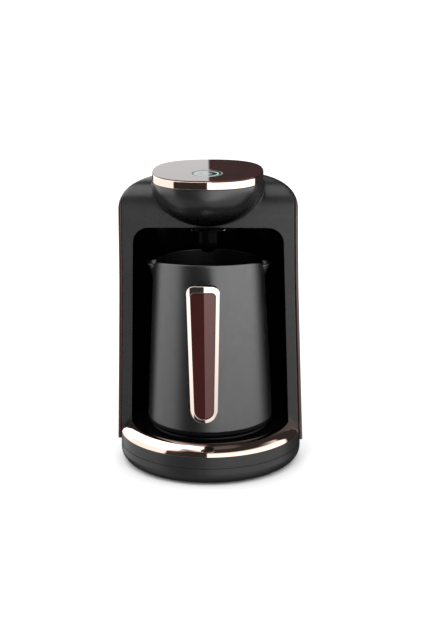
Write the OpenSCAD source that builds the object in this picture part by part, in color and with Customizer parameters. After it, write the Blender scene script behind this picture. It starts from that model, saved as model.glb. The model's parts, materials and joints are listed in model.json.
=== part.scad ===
// Electric coffee maker for boiled coffee: round base with a hot plate,
// an arched housing with a cavity, a bowl shaped head and a metal pot.

/* [Base] */
// Diameter of the round base
base_d = 153.4; // [150:0.2:158]
// Height of the parting line between the pan and the skirt
seam_z = 15.7; // [14:0.1:17]
// Height of the skirt, where the copper ring starts
skirt_z = 25.5; // [25.2:0.1:26.6]
// Height of the copper ring's inner lip
ring_z = 34.6; // [34:0.1:35]
// Diameter of the rubber feet
foot_d = 13; // [9:0.5:14]

/* [Housing] */
// Half width of the housing at the shoulder
house_w = 74.5; // [74:0.1:75.2]
// Outward lean of the lower sides, in mm per mm of height
lean = 0.0282; // [0.024:0.0002:0.03]
// Radius of the rounded flanks, seen from above
flank_r = 82; // [81:0.5:90]
// Height of the housing's top
top_z = 240; // [238:0.5:241]
// Front face of the housing, behind the base centre
front_y = -12; // [-13:0.5:-11]
// Rear face of the housing
rear_y = 70; // [69:0.5:72]
// Radius of the rounded shoulders
shoulder_r = 20; // [18:0.5:22]
// Wall of the housing parts
wall = 2.6; // [2:0.1:3]

/* [Cavity] */
// Half width of the opening near its top
open_w = 62.6; // [61:0.2:64]
// Height of the opening's top edge
open_z = 203.8; // [202:0.2:204]
// Radius of the opening's upper corners
open_r = 13; // [8:0.5:18]
// Rear wall of the cavity
cavity_y = 52; // [51:0.5:53]

/* [Head] */
// Half width of the head's band
head_w = 45.85; // [44:0.05:47]
// Half depth of the head's band
head_d = 44.7; // [43:0.2:46]
// Height of the glass panel's top
glass_z = 251.5; // [250.5:0.1:252]
// Depth of the bowl under the head
bowl_h = 34.8; // [34:0.2:35.2]
// Diameter of the round key
key_d = 23.4; // [20:0.2:26]
// Travel of the key
key_travel = 1.0; // [0.5:0.1:1.2]

/* [Pot] */
// Radius of the pot near its foot
pot_r1 = 52.8; // [50:0.2:53]
// Radius of the pot's mouth
pot_r2 = 45.8; // [43:0.2:46]
// Height of the mouth above the table at the sides and the rear
mouth_z = 173; // [168:0.2:173.2]
// How much the front of the rim stands higher
brow_h = 9.7; // [4:0.1:9.8]
// Metal thickness of the pot
pot_t = 1.3; // [1:0.1:1.8]
// Width of the handle at its top
grip_w = 26.5; // [25:0.1:30]

/* [Hidden] */

base_r = base_d / 2;
base_y = 10.85;         // base centre, so that the whole object is centred front to back
pot_y = -5;             // pot axis, from the base centre
head_y = -5.7;          // head centre, from the base centre
key_y = -19;            // key centre, from the base centre
pan_z = 0.6;            // underside of the pan
pan_r = 9.6;            // rounding of the pan's lower edge
split_y = 44;           // joint between the front frame and the rear cover
front_r = 27.5;          // radius of the curved top front
back_r = 30;            // radius of the curved top rear
flank_y = -8.1;         // widest place of the flanks
strip_w = 3.2;          // width of the side panels' strip beside the frame
crown_z = 229.3;        // the frame covers everything above this height
corner_r = 49;          // rear corners of the cavity
plate_r = 49.8;
slope = (pot_r1 - pot_r2) / 139;
$fn = 64;

module at_base() translate([0, base_y, 0]) children();
module along_y(y0, y1) translate([0, y1, 0]) rotate([90, 0, 0]) linear_extrude(y1 - y0) children();
module along_x(x1) translate([-x1, 0, 0]) rotate([90, 0, 90]) linear_extrude(2 * x1) children();
module rod_y(r, y0, y1) translate([0, y0, 0]) rotate([-90, 0, 0]) cylinder(r = r, h = y1 - y0);

// Pan head screw, head down at the origin, shank upwards
module screw(r = 1.25, l = 12, hr = 2.9, hh = 2) difference() {
    union() {
        translate([0, 0, -hh]) cylinder(r = hr, h = hh);
        cylinder(r = r, h = l);
    }
    translate([-1.6, -0.4, -hh - 1]) cube([3.2, 0.8, 2]);
    translate([-0.4, -1.6, -hh - 1]) cube([0.8, 3.2, 2]);
}

// Rounded square that bulges like a cushion, as a closed outline
function sup(t, a, b, n) = [a * sign(cos(t)) * pow(abs(cos(t)), 2 / n), b * sign(sin(t)) * pow(abs(sin(t)), 2 / n)];
module squircle(o = 0) polygon([for (i = [0:71]) sup(i * 5, head_w - o, head_d - o, 2.45)]);

// Round tube swept along points; the points keep off the direction of ref
function unit(v) = v / norm(v);
function tang(p, i) = unit(p[min(i + 1, len(p) - 1)] - p[max(i - 1, 0)]);
module sweep(p, r, ref = [1, 0, 0], n = 8) {
    m = len(p);
    pts = [for (i = [0:m - 1]) let (t = tang(p, i), u = unit(cross(t, ref)), v = cross(t, u))
        for (k = [0:n - 1]) p[i] + r * (cos(360 * k / n) * u + sin(360 * k / n) * v)];
    faces = concat([[for (k = [0:n - 1]) k]], [[for (k = [n - 1:-1:0]) (m - 1) * n + k]],
        [for (i = [0:m - 2]) for (k = [0:n - 1])
            [i * n + k, (i + 1) * n + k, (i + 1) * n + (k + 1) % n, i * n + (k + 1) % n]]);
    polyhedron(pts, faces);
}
// Compression spring standing on z0
module coil(R, r, z0, z1, turns) {
    m = turns * 10;
    sweep([for (i = [0:m]) let (a = 360 * turns * i / m, z = z0 + r + (z1 - z0 - 2 * r) * i / m)
        [R * cos(a), R * sin(a), z]], r, [0, 0, 1], 6);
}
// Points of a straight run broken into even steps
function run(a, b, n) = [for (i = [0:n]) a + (b - a) * i / n];

// ---- outer shape of the housing, inset by o ----
function arc(x, z, r, a0, a1, n = 14) = [for (i = [0:n]) let (a = a0 + (a1 - a0) * i / n) [x + r * cos(a), z + r * sin(a)]];
function side_x(z) = house_w + (z > 160 ? 0.0073 * (215 - z) : 0.4015 + lean * (160 - z));
module side2d(o) {
    translate([front_y + o, 0]) square([rear_y - front_y - 2 * o, top_z - back_r]);
    translate([front_y + o, 0]) square([back_r, top_z - front_r]);
    translate([front_y + front_r, top_z - front_r]) circle(front_r - o);
    translate([rear_y - back_r, top_z - back_r]) circle(back_r - o);
    translate([front_y + front_r, 0]) square([rear_y - back_r - front_y - front_r, top_z - o]);
}
// Flank: a leaning barrel with a rounded top edge
module flank2d(o) {
    d = flank_r - house_w;
    zc = top_z - shoulder_r;
    xc = d + side_x(zc) - shoulder_r;
    polygon([[0, -5], [d + side_x(-5) - o, -5], [d + side_x(160) - o, 160], [d + side_x(zc) - o, zc], [0, zc]]);
    translate([xc, zc]) circle(shoulder_r - o);
    translate([0, zc - 1]) square([xc, shoulder_r - o + 1]);
}
module flank(s, o) translate([s * (house_w - flank_r), flank_y, 0]) rotate_extrude($fn = 160) flank2d(o);
module house(o) intersection() {
    along_x(100) side2d(o);
    flank(1, o);
    flank(-1, o);
}
// Outline of the frame between the strips of the side panels, seen from the front
module inner2d(o) {
    w = strip_w + o;
    z = [5, 160, 215, top_z + 20];
    polygon(concat([for (i = [0:3]) [side_x(min(z[i], 215)) - w, z[i]]], [for (i = [3:-1:0]) [w - side_x(min(z[i], 215)), z[i]]]));
}
// Room taken by the base inside the housing's foot
module base_room(g = 0.3) cylinder(r = base_r + g, h = skirt_z, $fn = 96);

// Opening of the cavity, outset by o
module open2d(o) {
    w = open_w + o;
    z = open_z - open_r;
    polygon([[-w, z], [w, z], [w + 0.0262 * (z - 0), 0], [-w - 0.0262 * (z - 0), 0]]);
    for (s = [-1, 1]) translate([s * (open_w - open_r), z]) circle(open_r + o);
    translate([-(open_w - open_r), z - 30]) square([2 * (open_w - open_r), open_r + o + 30]);
}
module cavity_plan(o) {
    r = corner_r + o;
    c = 66.6 - corner_r;
    for (s = [-1, 1]) translate([s * c, cavity_y - corner_r]) circle(r);
    translate([-66.6 - o, -60]) square([2 * (66.6 + o), cavity_y - corner_r + 60]);
    translate([-c, -60]) square([2 * c, cavity_y + 60 + o]);
}
module cavity(o, y0, z0) intersection() {
    along_y(y0, 100) open2d(o);
    translate([0, 0, z0]) linear_extrude(300) cavity_plan(o);
}
// Bowl of the head: half of a flattened ball hanging from the housing's top
module bowl2d(o) polygon(concat([[0, top_z]],
    [for (i = [0:20]) [(head_w + 1.05 + o) * cos(i * 4.5), top_z - (bowl_h + o) * sin(i * 4.5)]]));
module bowl(o) translate([0, head_y, 0]) rotate_extrude($fn = 96) bowl2d(o);

// ---- base ----
module base_pan() color("#2b2b2b") difference() {
    union() {
        difference() {
            rotate_extrude($fn = 96) intersection() {
                square([100, seam_z - 0.3]);
                union() {
                    translate([0, pan_z]) square([base_r - pan_r, 14]);
                    translate([base_r - pan_r, pan_z + pan_r]) circle(pan_r);
                    translate([0, pan_z + pan_r]) square([base_r, 10]);
                }
            }
            rotate_extrude($fn = 96) {
                translate([0, pan_z + 2.6]) square([base_r - pan_r, 20]);
                translate([base_r - pan_r, pan_z + pan_r]) circle(pan_r - 2.6);
                translate([0, pan_z + pan_r]) square([base_r - 2.6, 10]);
            }
        }
        for (a = [25, 155, 205, 335]) rotate(a) translate([60, 0, pan_z]) cylinder(r = 5.5, h = 6.5);
    }
    for (a = [25, 155, 205, 335]) rotate(a) translate([60, 0, 0]) {
        translate([0, 0, -1]) cylinder(r = 3.4, h = 6);
        cylinder(r = 1.7, h = 12);
    }
    for (a = [50, 130, 230, 310]) rotate(a) translate([57, 0, 0]) cylinder(r = foot_d / 2 + 0.1, h = 2.2);
    for (i = [-4:4]) translate([i * 7 - 1.5, -22, 0]) cube([3, 44, 8]);
}
module base_skirt() color("#343434") rotate_extrude($fn = 96)
    polygon([[base_r, seam_z + 0.3], [base_r, skirt_z], [70.5, skirt_z], [70.5, skirt_z - 2.4],
        [base_r - 4.6, skirt_z - 2.4], [base_r - 4.6, seam_z - 3], [base_r - 2.8, seam_z - 3], [base_r - 2.8, seam_z + 0.3]]);
module base_deck() color("#777777") difference() {
    union() {
        translate([0, 0, skirt_z - 2.4]) cylinder(r = 70.3, h = 2.4, $fn = 96);
        for (a = [25, 155, 205, 335]) rotate(a) translate([60, 0, 8.2]) cylinder(r = 5, h = skirt_z - 9);
    }
    translate([0, pot_y, 0]) cylinder(r = 50, h = 60, $fn = 96);
    for (a = [25, 155, 205, 335]) rotate(a) translate([60, 0, 7]) cylinder(r = 1.3, h = 13);
    translate([0, 61, 0]) cylinder(r = 5, h = 60);
}
module trim_ring() color("#c98f78") difference() {
    rotate_extrude($fn = 120) polygon([[base_r, skirt_z], [base_r, skirt_z + 0.8], [base_r - 1.3, ring_z - 5.3],
        [base_r - 3.6, ring_z - 2.9], [base_r - 6.3, ring_z - 1.1], [base_r - 8.9, ring_z - 0.1], [base_r - 10.6, ring_z],
        [base_r - 10.6, ring_z - 3.6], [base_r - 7.4, ring_z - 4], [base_r - 5, ring_z - 6], [base_r - 3.4, skirt_z]]);
    translate([-100, front_y - 0.4, 0]) cube([200, 200, 60]);
}
module rubber_feet() color("#1c1c1c") for (a = [50, 130, 230, 310]) rotate(a) translate([57, 0, 0])
    rotate_extrude() polygon([[0, 0], [foot_d / 2 - 1, 0], [foot_d / 2, 1], [foot_d / 2, 2.1], [0, 2.1]]);
module base_screws() color("#b5b5b5") for (a = [25, 155, 205, 335]) rotate(a) translate([60, 0, 5]) screw(l = 13);

// ---- floor of the cavity and heater ----
module floor_plate() color("#101010") difference() {
    union() {
        translate([0, 0, ring_z - 2.8]) linear_extrude(1.8) intersection() {
            union() {
                intersection() { circle(base_r - 10.9, $fn = 96); translate([-70, -70]) square([140, 58.4]); }
                translate([-66.1, -9]) square([132.2, 20]);
                intersection() { cavity_plan(-0.4); translate([-80, -9]) square([160, 80]); }
                translate([-64, -11.7]) square([128, 4]);
            }
            cavity_plan(-0.4);
        }
        translate([0, pot_y, skirt_z]) cylinder(r = 57, h = ring_z - 2.8 - skirt_z, $fn = 96);
    }
    translate([0, pot_y, 0]) cylinder(r = 55, h = ring_z - 2.8, $fn = 96);
    translate([0, pot_y, 0]) cylinder(r = plate_r + 0.3, h = 60, $fn = 96);
}
module hot_plate() color("#2f2f31") translate([0, pot_y, 0]) rotate_extrude($fn = 96)
    polygon([[5.5, 30], [5.5, ring_z], [plate_r - 0.6, ring_z], [plate_r, ring_z - 0.6], [plate_r, 29], [52.5, 29],
        [52.5, 27.4], [47, 27.4], [47, 30]]);
module insulation_ring() color("#d8cfb8") translate([0, pot_y, skirt_z]) difference() {
    cylinder(r = 53, h = 27.4 - skirt_z, $fn = 96);
    translate([0, 0, -1]) cylinder(r = 50.5, h = 9, $fn = 96);
}
module plate_seal() color("#8a2f22") translate([0, pot_y, 29]) difference() {
    cylinder(r = 53, h = ring_z - 2.8 - 29, $fn = 96);
    translate([0, 0, -1]) cylinder(r = plate_r + 0.1, h = 9, $fn = 96);
}
module heating_element() color("#9a9a9c") translate([0, pot_y, 0]) {
    rotate(108) rotate_extrude(angle = 324, $fn = 72) translate([36, 26.8]) circle(3.2, $fn = 24);
    for (s = [-1, 1]) rotate(90 + s * 18) translate([36, 0, 12.5]) cylinder(r = 2.2, h = 15.5);
}
module heat_shield() color("#c4c4c6") translate([0, pot_y, 0]) difference() {
    union() {
        difference() {
            translate([0, 0, 15]) cylinder(r = 46, h = 9, $fn = 96);
            translate([0, 0, 16]) cylinder(r = 45, h = 20, $fn = 96);
        }
        for (a = [30, 150, 270]) rotate(a) translate([42, 0, 15]) cylinder(r = 2.4, h = 15);
    }
    cylinder(r = 10, h = 40);
    for (s = [-1, 1]) rotate(90 + s * 18) translate([36, 0, 0]) cylinder(r = 4.4, h = 26);
}
module thermostat() color("#d9d5cb") translate([22, pot_y, 0]) {
    translate([0, 0, 24]) cylinder(r = 8, h = 6);
    translate([0, 0, 21]) cylinder(r = 6.5, h = 3);
    for (s = [-1, 1]) translate([s * 3.5 - 0.4, -3, 17]) cube([0.8, 6, 4]);
}
module thermal_fuse() color("#b9a25a") translate([-21, pot_y, 27.6]) {
    rotate([90, 0, 0]) cylinder(r = 2.1, h = 12, center = true);
    for (s = [-1, 1]) translate([0, s * 6, 0]) rotate([s * -90, 0, 0]) cylinder(r = 0.5, h = 7);
    translate([-3, -2, 0]) difference() { cube([6, 4, 2.4]); translate([3, -1, 0]) rotate([-90, 0, 0]) cylinder(r = 2.1, h = 6); }
}
module probe_guide() color("#e3ded2") translate([0, pot_y, 0]) difference() {
    translate([0, 0, 17.5]) cylinder(r = 9, h = 12.5);
    translate([0, 0, 20]) cylinder(r = 7.4, h = 20);
    cylinder(r = 3.3, h = 40);
}
module temp_probe() color("#b8b8ba") translate([0, pot_y, 0]) {
    translate([0, 0, 21]) cylinder(r = 3, h = 8);
    translate([0, 0, 28.3]) cylinder(r = 7, h = 1.6);
    rotate_extrude() polygon([[0, 29], [5.2, 29], [5.2, 34.2], [4.7, 34.7], [0, 34.7]]);
}
module probe_spring() color("#cfcfcf") translate([0, pot_y, 0]) coil(5.1, 0.45, 20, 28.25, 5);

// ---- housing ----
module front_frame() color("#333333") difference() {
    intersection() {
        house(0);
        union() {
            along_y(-60, 0) inner2d(0);
            translate([-100, -60, crown_z]) cube([200, 60 + split_y, 40]);
        }
    }
    intersection() {
        house(wall);
        union() {
            along_y(-60, 120) inner2d(wall);
            translate([-100, -60, crown_z - 0.01]) cube([200, 200, 40]);
        }
    }
    translate([0, 0, -1]) linear_extrude(19) square(300, center = true);
    along_y(-30, -5) open2d(0);
    bowl(0.4);
    base_room();
}
module cavity_liner() color("#0b0b0b") difference() {
    union() {
        difference() {
            cavity(2, front_y + wall + 0.04, skirt_z);
            cavity(0, -50, 0);
        }
        for (s = [-1, 1], z = [52, 188]) translate([s * 40, 0, z]) rod_y(4, 44, 52);
    }
    cavity(0, -50, 0);
    bowl(0.4);
    translate([0, head_y - 0.3, 190]) cylinder(r = 6, h = 30);
    for (s = [-1, 1], z = [52, 188]) translate([s * 40, 0, z]) rod_y(1.3, 47.3, 80);
    for (s = [-1, 1]) translate([s * 12.4, head_y - 0.3, 190]) cylinder(r = 1.2, h = 40);
}
module side_panel(s) color("#3c1e1e") difference() {
    house(0);
    along_y(-60, 0.3) inner2d(-0.3);
    intersection() { house(2.2); translate([-100, front_y + 3.4, -1]) cube([200, 200, 300]); }
    translate([-100, -100, crown_z - 0.3]) cube([200, 200, 40]);
    translate([-100, split_y - 0.1, -1]) cube([200, 100, 300]);
    translate([-100, front_y - 50, -1]) cube([200, 50.9, 300]);
    translate([s > 0 ? -150 : -2, -100, -1]) cube([152, 300, 300]);
    translate([0, 0, -1]) linear_extrude(19) square(300, center = true);
    translate([-100, 8, -1]) cube([200, 100, skirt_z + 1]);
    base_room();
}
module side_panel_left() side_panel(-1);
module side_panel_right() side_panel(1);
module rear_cover() color("#2e2e2e") difference() {
    union() {
        difference() {
            house(0);
            house(wall);
        }
        intersection() {
            house(0.6);
            union() {
                for (s = [-1, 1], z = [68, 146]) translate([s * 28, 0, z]) rod_y(3.2, 59.2, rear_y);
                for (s = [-1, 1]) translate([-19 + s * 12, 0, 44]) rod_y(3, 62, rear_y);
                for (s = [-1, 1], z = [52, 188]) translate([s * 40, 0, z]) rod_y(5, 52.4, rear_y);
            }
        }
    }
    translate([-100, -100, -1]) cube([200, 100 + split_y + 0.3, 300]);
    translate([0, 0, -1]) linear_extrude(19) square(300, center = true);
    base_room();
    translate([-19, 0, 44]) rod_y(6.2, 60, 90);
    for (s = [-1, 1], z = [68, 146]) translate([s * 28, 50, z]) rod_y(1.25, 0, 15);
    for (s = [-1, 1], z = [52, 188]) translate([s * 40, 0, z]) { rod_y(1.7, 50, 90); rod_y(3.4, 54.5, 90); }
    for (i = [0:8]) translate([-28, 60, 158 + i * 4.5]) cube([56, 20, 2.2]);
    for (i = [0:4]) translate([-20, 60, 84 + i * 4.5]) cube([40, 20, 2.2]);
}
module rear_screws() color("#8d8d8d") for (s = [-1, 1], z = [52, 188]) translate([s * 40, 54.5, z]) rotate([90, 0, 0]) screw(l = 7);
module cord_grommet() color("#161616") translate([-19, 0, 44]) rotate([-90, 0, 0]) rotate_extrude()
    polygon([[3.4, 64.6], [7.8, 64.6], [7.8, rear_y - wall - 0.1], [6, rear_y - wall - 0.1], [6, rear_y + 0.1], [8.6, rear_y + 0.1],
        [8.4, rear_y + 1.6], [6.4, rear_y + 4.1], [3.4, rear_y + 4.1]]);
module cord_clamp() color("#e6e2d6") translate([-19, 0, 44]) difference() {
    translate([-15, 55.6, -5]) cube([30, 6.3, 10]);
    rod_y(3.6, 50, 70);
    for (s = [-1, 1]) translate([s * 12, 0, 0]) rod_y(1.2, 50, 70);
}
module terminal_block() color("#ece8dc") difference() {
    translate([6, 57.4, 34]) cube([21, rear_y - wall - 57.8, 13]);
    for (i = [0:2]) translate([9.5 + i * 7, 60.4, 30]) cylinder(r = 1.8, h = 30);
    for (i = [0:2]) translate([9.5 + i * 7, 50, 43]) rod_y(1.6, 2, 9);
}

// ---- power electronics behind the cavity ----
module power_board() color("#2f6b3c") difference() {
    translate([-33, 57.6, 62]) cube([66, 1.6, 90]);
    for (s = [-1, 1], z = [68, 146]) translate([s * 28, 50, z]) rod_y(1.7, 0, 20);
}
module board_screws() color("#b5b5b5") for (s = [-1, 1], z = [68, 146]) translate([s * 28, 57.6, z]) rotate([-90, 0, 0]) screw(r = 1.2, l = 7, hh = 1.7);
module transformer() color("#c9b27a") translate([-11, 59.2, 120]) {
    translate([-13, 0, -12]) cube([26, 3, 24]);
    translate([-9, 2.5, -10]) cube([18, 5, 20]);
}
module relay() color("#2b4f9c") translate([5, 59.2, 112]) cube([17, 6.8, 15]);
module capacitors() color("#26324f") {
    for (i = [0:2]) translate([-20 + i * 12, 59.2 + 3.6, 74]) cylinder(r = 3.6, h = 14);
    translate([12, 59.2, 76]) cube([13, 6, 11]);
}
module wiring_loom() color("#a33a2a") {
    for (s = [-1, 1]) sweep(concat(run([s * 2.4, 64, 60], [s * 2.4, 61, 26], 6), run([s * 2.6, 60, 20], [s * 5, 50, 11], 4),
        run([s * 7, 44, 9], [s * 10.6, 32, 9.2], 4), [[s * 11.1, 29.5, 10.4], [s * 11.1, 29.24, 12.4]]), 1.2);
    sweep(concat(run([0, 61, 154], [0, 62, 205], 6), [[0, 61, 214], [0, 56, 220], [0, 48, 222]],
        run([0, 40, 222], [0, 24, 222], 4), [[0, 20, 224], [0, 18, 228], [0, 17.6, 231.9]]), 1.4);
}

// ---- head ----
module head_bowl() color("#303030") difference() {
    union() {
        difference() {
            union() {
                bowl(0);
                translate([0, head_y, top_z - 0.5]) linear_extrude(4.4) squircle(1);
            }
            bowl(-2.2);
            translate([0, head_y, top_z - 0.5]) linear_extrude(9) squircle(3.2);
        }
        intersection() {
            for (x = [-24, 24], y = [-15, 15]) translate([x, head_y + y, 205]) cylinder(r = 3, h = 27);
            bowl(-0.8);
        }
    }
    for (x = [-24, 24], y = [-15, 15]) translate([x, head_y + y, 222]) cylinder(r = 1.25, h = 12);
    translate([0, head_y - 0.3, 190]) cylinder(r = 6, h = 30);
    translate([0, 0, 222]) rod_y(3.4, 20, 60);
}
module head_band() color("#cf9a84") translate([0, head_y, top_z + 4]) difference() {
    linear_extrude(glass_z - 0.8 - top_z - 4) squircle(0);
    translate([0, 0, -1]) linear_extrude(30) squircle(2.2);
}
module panel_carrier() color("#1d1d1d") difference() {
    union() {
        translate([0, head_y, glass_z - 4.6]) linear_extrude(2.3) squircle(2.4);
        translate([0, head_y, top_z + 3.9]) linear_extrude(glass_z - 4.5 - top_z - 3.9) difference() { squircle(2.4); squircle(5); }
        translate([0, key_y, 238]) cylinder(r = 13.6, h = glass_z - 241.5);
    }
    translate([0, key_y, 239.5]) cylinder(r = key_d / 2 + 0.3, h = 20);
    translate([0, key_y, 230]) cylinder(r = 5.4, h = 20);
}
module touch_panel() color("#3d1f1f") difference() {
    translate([0, head_y, 0]) {
        translate([0, 0, glass_z - 2.3]) linear_extrude(1.7) squircle(2.4);
        translate([0, 0, glass_z - 0.7]) linear_extrude(0.7) squircle(0.7);
    }
    translate([0, key_y, 230]) cylinder(r = key_d / 2 + 0.3, h = 40);
}
module brew_key() color("#5d3434") translate([0, key_y, 0]) difference() {
    union() {
        translate([0, 0, glass_z - 2.6]) cylinder(r = key_d / 2, h = 2.5);
        translate([0, 0, 240]) cylinder(r = 5, h = glass_z - 242);
    }
    translate([0, 0, 239]) cylinder(r = 3.4, h = 6);
}
module key_spring() color("#cfcfcf") translate([0, key_y, 0]) coil(7, 0.4, 239.55, glass_z - 2.65, 5);
module key_light_ring() color("#bfe6e0") translate([0, key_y, 239.5]) difference() {
    cylinder(r = 11.6, h = 1.6);
    translate([0, 0, -1]) cylinder(r = 8.2, h = 9);
}
module key_switch() color("#1a1a1a") translate([0, key_y, 0]) {
    translate([-4.5, -4.5, 233.6]) cube([9, 9, 3.6]);
    translate([0, 0, 237]) cylinder(r = 2.6, h = 1.6);
}
module control_board() color("#2f6b3c") difference() {
    translate([-29, head_y - 20, 232]) cube([58, 40, 1.6]);
    for (x = [-24, 24], y = [-15, 15]) translate([x, head_y + y, 230]) cylinder(r = 1.7, h = 12);
}
module head_screws() color("#b5b5b5") for (x = [-24, 24], y = [-15, 15]) translate([x, head_y + y, 233.6]) rotate([180, 0, 0]) screw(r = 1.2, l = 8, hh = 1.7);
module buzzer() color("#141414") translate([-14, 4, 233.6]) difference() { cylinder(r = 6, h = 7); translate([0, 0, 5]) cylinder(r = 1.2, h = 9); }
module sensor_dome() color("#0e0e0e") translate([0, head_y - 0.3, 0]) difference() {
    union() {
        translate([0, 0, open_z - 1.8]) cylinder(r = 14.8, h = 1.8);
        translate([0, 0, 192.3]) cylinder(r = 10.2, h = open_z - 193);
        translate([0, 0, 192.3]) sphere(10.2);
    }
    translate([0, 0, 192.3]) cylinder(r = 8.4, h = 40);
    translate([0, 0, 192.3]) sphere(8.4);
    translate([0, 0, 170]) cylinder(r = 4.1, h = 20);
    for (s = [-1, 1]) translate([s * 12.4, 0, 190]) cylinder(r = 1.2, h = 40);
}
module sensor_lens() color("#401010") translate([0, head_y - 0.3, 0]) intersection() {
    translate([0, 0, 170]) cylinder(r = 4, h = 16);
    difference() { translate([0, 0, 192.3]) sphere(10.6); translate([0, 0, 192.3]) sphere(8.4); }
}
module sensor_board() color("#2f6b3c") translate([0, head_y - 0.3, 196]) difference() {
    cylinder(r = 8.2, h = 1.2);
    translate([0, 5.5, -1]) cylinder(r = 1.6, h = 5);
}
module sensor_screws() color("#8d8d8d") for (s = [-1, 1]) translate([s * 12.4, head_y - 0.3, open_z - 1.8]) screw(r = 1.1, l = 3.2, hr = 1.9, hh = 1.2);

// ---- pot ----
module rim_cut() translate([0, pot_y, 0]) along_x(90) polygon(concat([[100, 260], [100, mouth_z], [-9, mouth_z]],
    [for (i = [1:14]) let (t = i / 14, y = -9 - 40 * t * t) [y, mouth_z + brow_h * t]], [[-100, mouth_z + brow_h], [-100, 260]]));
function pot_x(z, o = 0) = pot_r1 - slope * (z - 43) + o;
module spout(s, o) translate([s * 42.4, 0, mouth_z]) rotate([0, s * 25, 0]) translate([0, 0, -32]) cylinder(r = 9 - o, h = 60);
module pot_body() color("#3b3b3d") difference() {
    translate([0, pot_y, 0]) difference() {
        union() {
            rotate_extrude($fn = 96) polygon([[0, 36.2], [pot_r1 - 4.8, 36.2], [pot_r1 - 2.6, 37.6], [pot_r1 - 2.6, 40.1], [pot_r1, 40.2],
                [pot_r1, 43], [pot_x(186), 186], [0, 186]]);
            spout(1, 0);
            spout(-1, 0);
        }
        rotate_extrude($fn = 96) polygon([[0, 36.2 + 1.4], [pot_r1 - 5.6, 37.6], [pot_r1 - 4, 39.4], [pot_r1 - 3.9, 43],
            [pot_x(46) - pot_t, 46], [pot_x(187) - pot_t, 187], [0, 187]]);
        spout(1, 1.2);
        spout(-1, 1.2);
    }
    rim_cut();
}
module pot_base() color("#a8a8aa") translate([0, pot_y, 34.8]) difference() {
    cylinder(r = 47, h = 1.4, $fn = 96);
    for (r = [14, 26, 38]) translate([0, 0, -1]) difference() { cylinder(r = r + 0.6, h = 1.4, $fn = 96); translate([0, 0, -1]) cylinder(r = r, h = 9, $fn = 96); }
}
module pot_foot_ring() color("#121212") translate([0, pot_y, 0]) rotate_extrude($fn = 96)
    polygon([[pot_r1 - 4.7, 35], [pot_r1 - 3.2, 35], [pot_r1 - 1.6, 35.9], [pot_r1 - 0.4, 37.6], [pot_r1 - 0.2, 40], [pot_r1 - 2.5, 40], [pot_r1 - 2.5, 37.5], [pot_r1 - 4.6, 36.1]]);
module handle_bracket() color("#8f8f91") difference() {
    union() {
        translate([-9, -62, 151.5]) cube([18, 14, 8]);
        translate([-7, -80, 154]) cube([14, 20, 3]);
    }
    translate([0, pot_y, 0]) rotate_extrude($fn = 96) polygon([[0, 100], [pot_x(100, 0.05), 100], [pot_x(200, 0.05), 200], [0, 200]]);
    for (y = [-67, -76]) translate([0, y, 150]) cylinder(r = 1.3, h = 20);
}
// Outline of the grip seen from the front, inset by o
module grip2d(o = 0, ot = 0, ob = 0) hull() {
    for (s = [-1, 1]) translate([s * (grip_w / 2 - 6.5), 177.2 - 6.5 - ot]) circle(max(6.5 - o, 1.5), $fn = 32);
    for (s = [-1, 1]) translate([s * 0.6, 63.2 + 10.4 + ob]) circle(10.4 - o, $fn = 40);
}
module handle_core() color("#1b1b1b") difference() {
    union() {
        along_y(-93.4, -88) grip2d(0.8, 2.6, 0);
        translate([-11, -89, 150]) cube([22, 26.9, 12]);
    }
    translate([-7.1, -80.2, 153.9]) cube([14.2, 30, 3.2]);
    for (y = [-67, -76]) translate([0, y, 140]) { cylinder(r = 1.7, h = 16); cylinder(r = 3.2, h = 12.2); cylinder(r = 1.3, h = 20.6); }
}
// Gentle arch of the grip's front, seen from above
module arch(y) translate([0, y + 75, 40]) cylinder(r = 75, h = 160, $fn = 180);
module handle_trim() color("#d19d86") intersection() {
    difference() {
        along_y(-98.4, -93.5) grip2d();
        along_y(-110, -80) grip2d(3, 2.5, 0.2);
    }
    arch(-98.4);
}
module handle_insert() color("#43211f") intersection() {
    along_y(-97.8, -93.5) grip2d(3.15, 2.6, 0.3);
    arch(-97.8);
}
module handle_screws() color("#9c9c9c") for (y = [-67, -76]) translate([0, y, 152.2]) screw(r = 1.25, l = 8, hh = 1.9);

at_base() base_pan();
at_base() base_skirt();
at_base() base_deck();
at_base() trim_ring();
at_base() rubber_feet();
at_base() base_screws();
at_base() floor_plate();
at_base() hot_plate();
at_base() insulation_ring();
at_base() plate_seal();
at_base() heating_element();
at_base() heat_shield();
at_base() thermostat();
at_base() thermal_fuse();
at_base() probe_guide();
at_base() temp_probe();
at_base() probe_spring();
at_base() front_frame();
at_base() cavity_liner();
at_base() side_panel_left();
at_base() side_panel_right();
at_base() rear_cover();
at_base() rear_screws();
at_base() cord_grommet();
at_base() cord_clamp();
at_base() terminal_block();
at_base() power_board();
at_base() board_screws();
at_base() transformer();
at_base() relay();
at_base() capacitors();
at_base() wiring_loom();
at_base() head_bowl();
at_base() head_band();
at_base() panel_carrier();
at_base() touch_panel();
at_base() brew_key();
at_base() key_spring();
at_base() key_light_ring();
at_base() key_switch();
at_base() control_board();
at_base() head_screws();
at_base() buzzer();
at_base() sensor_dome();
at_base() sensor_lens();
at_base() sensor_board();
at_base() sensor_screws();
at_base() pot_body();
at_base() pot_base();
at_base() pot_foot_ring();
at_base() handle_bracket();
at_base() handle_core();
at_base() handle_trim();
at_base() handle_insert();
at_base() handle_screws();
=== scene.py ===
import json
import math

import bmesh
import bpy
import numpy as np
from mathutils import Matrix, Vector
from mathutils.geometry import delaunay_2d_cdt


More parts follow.
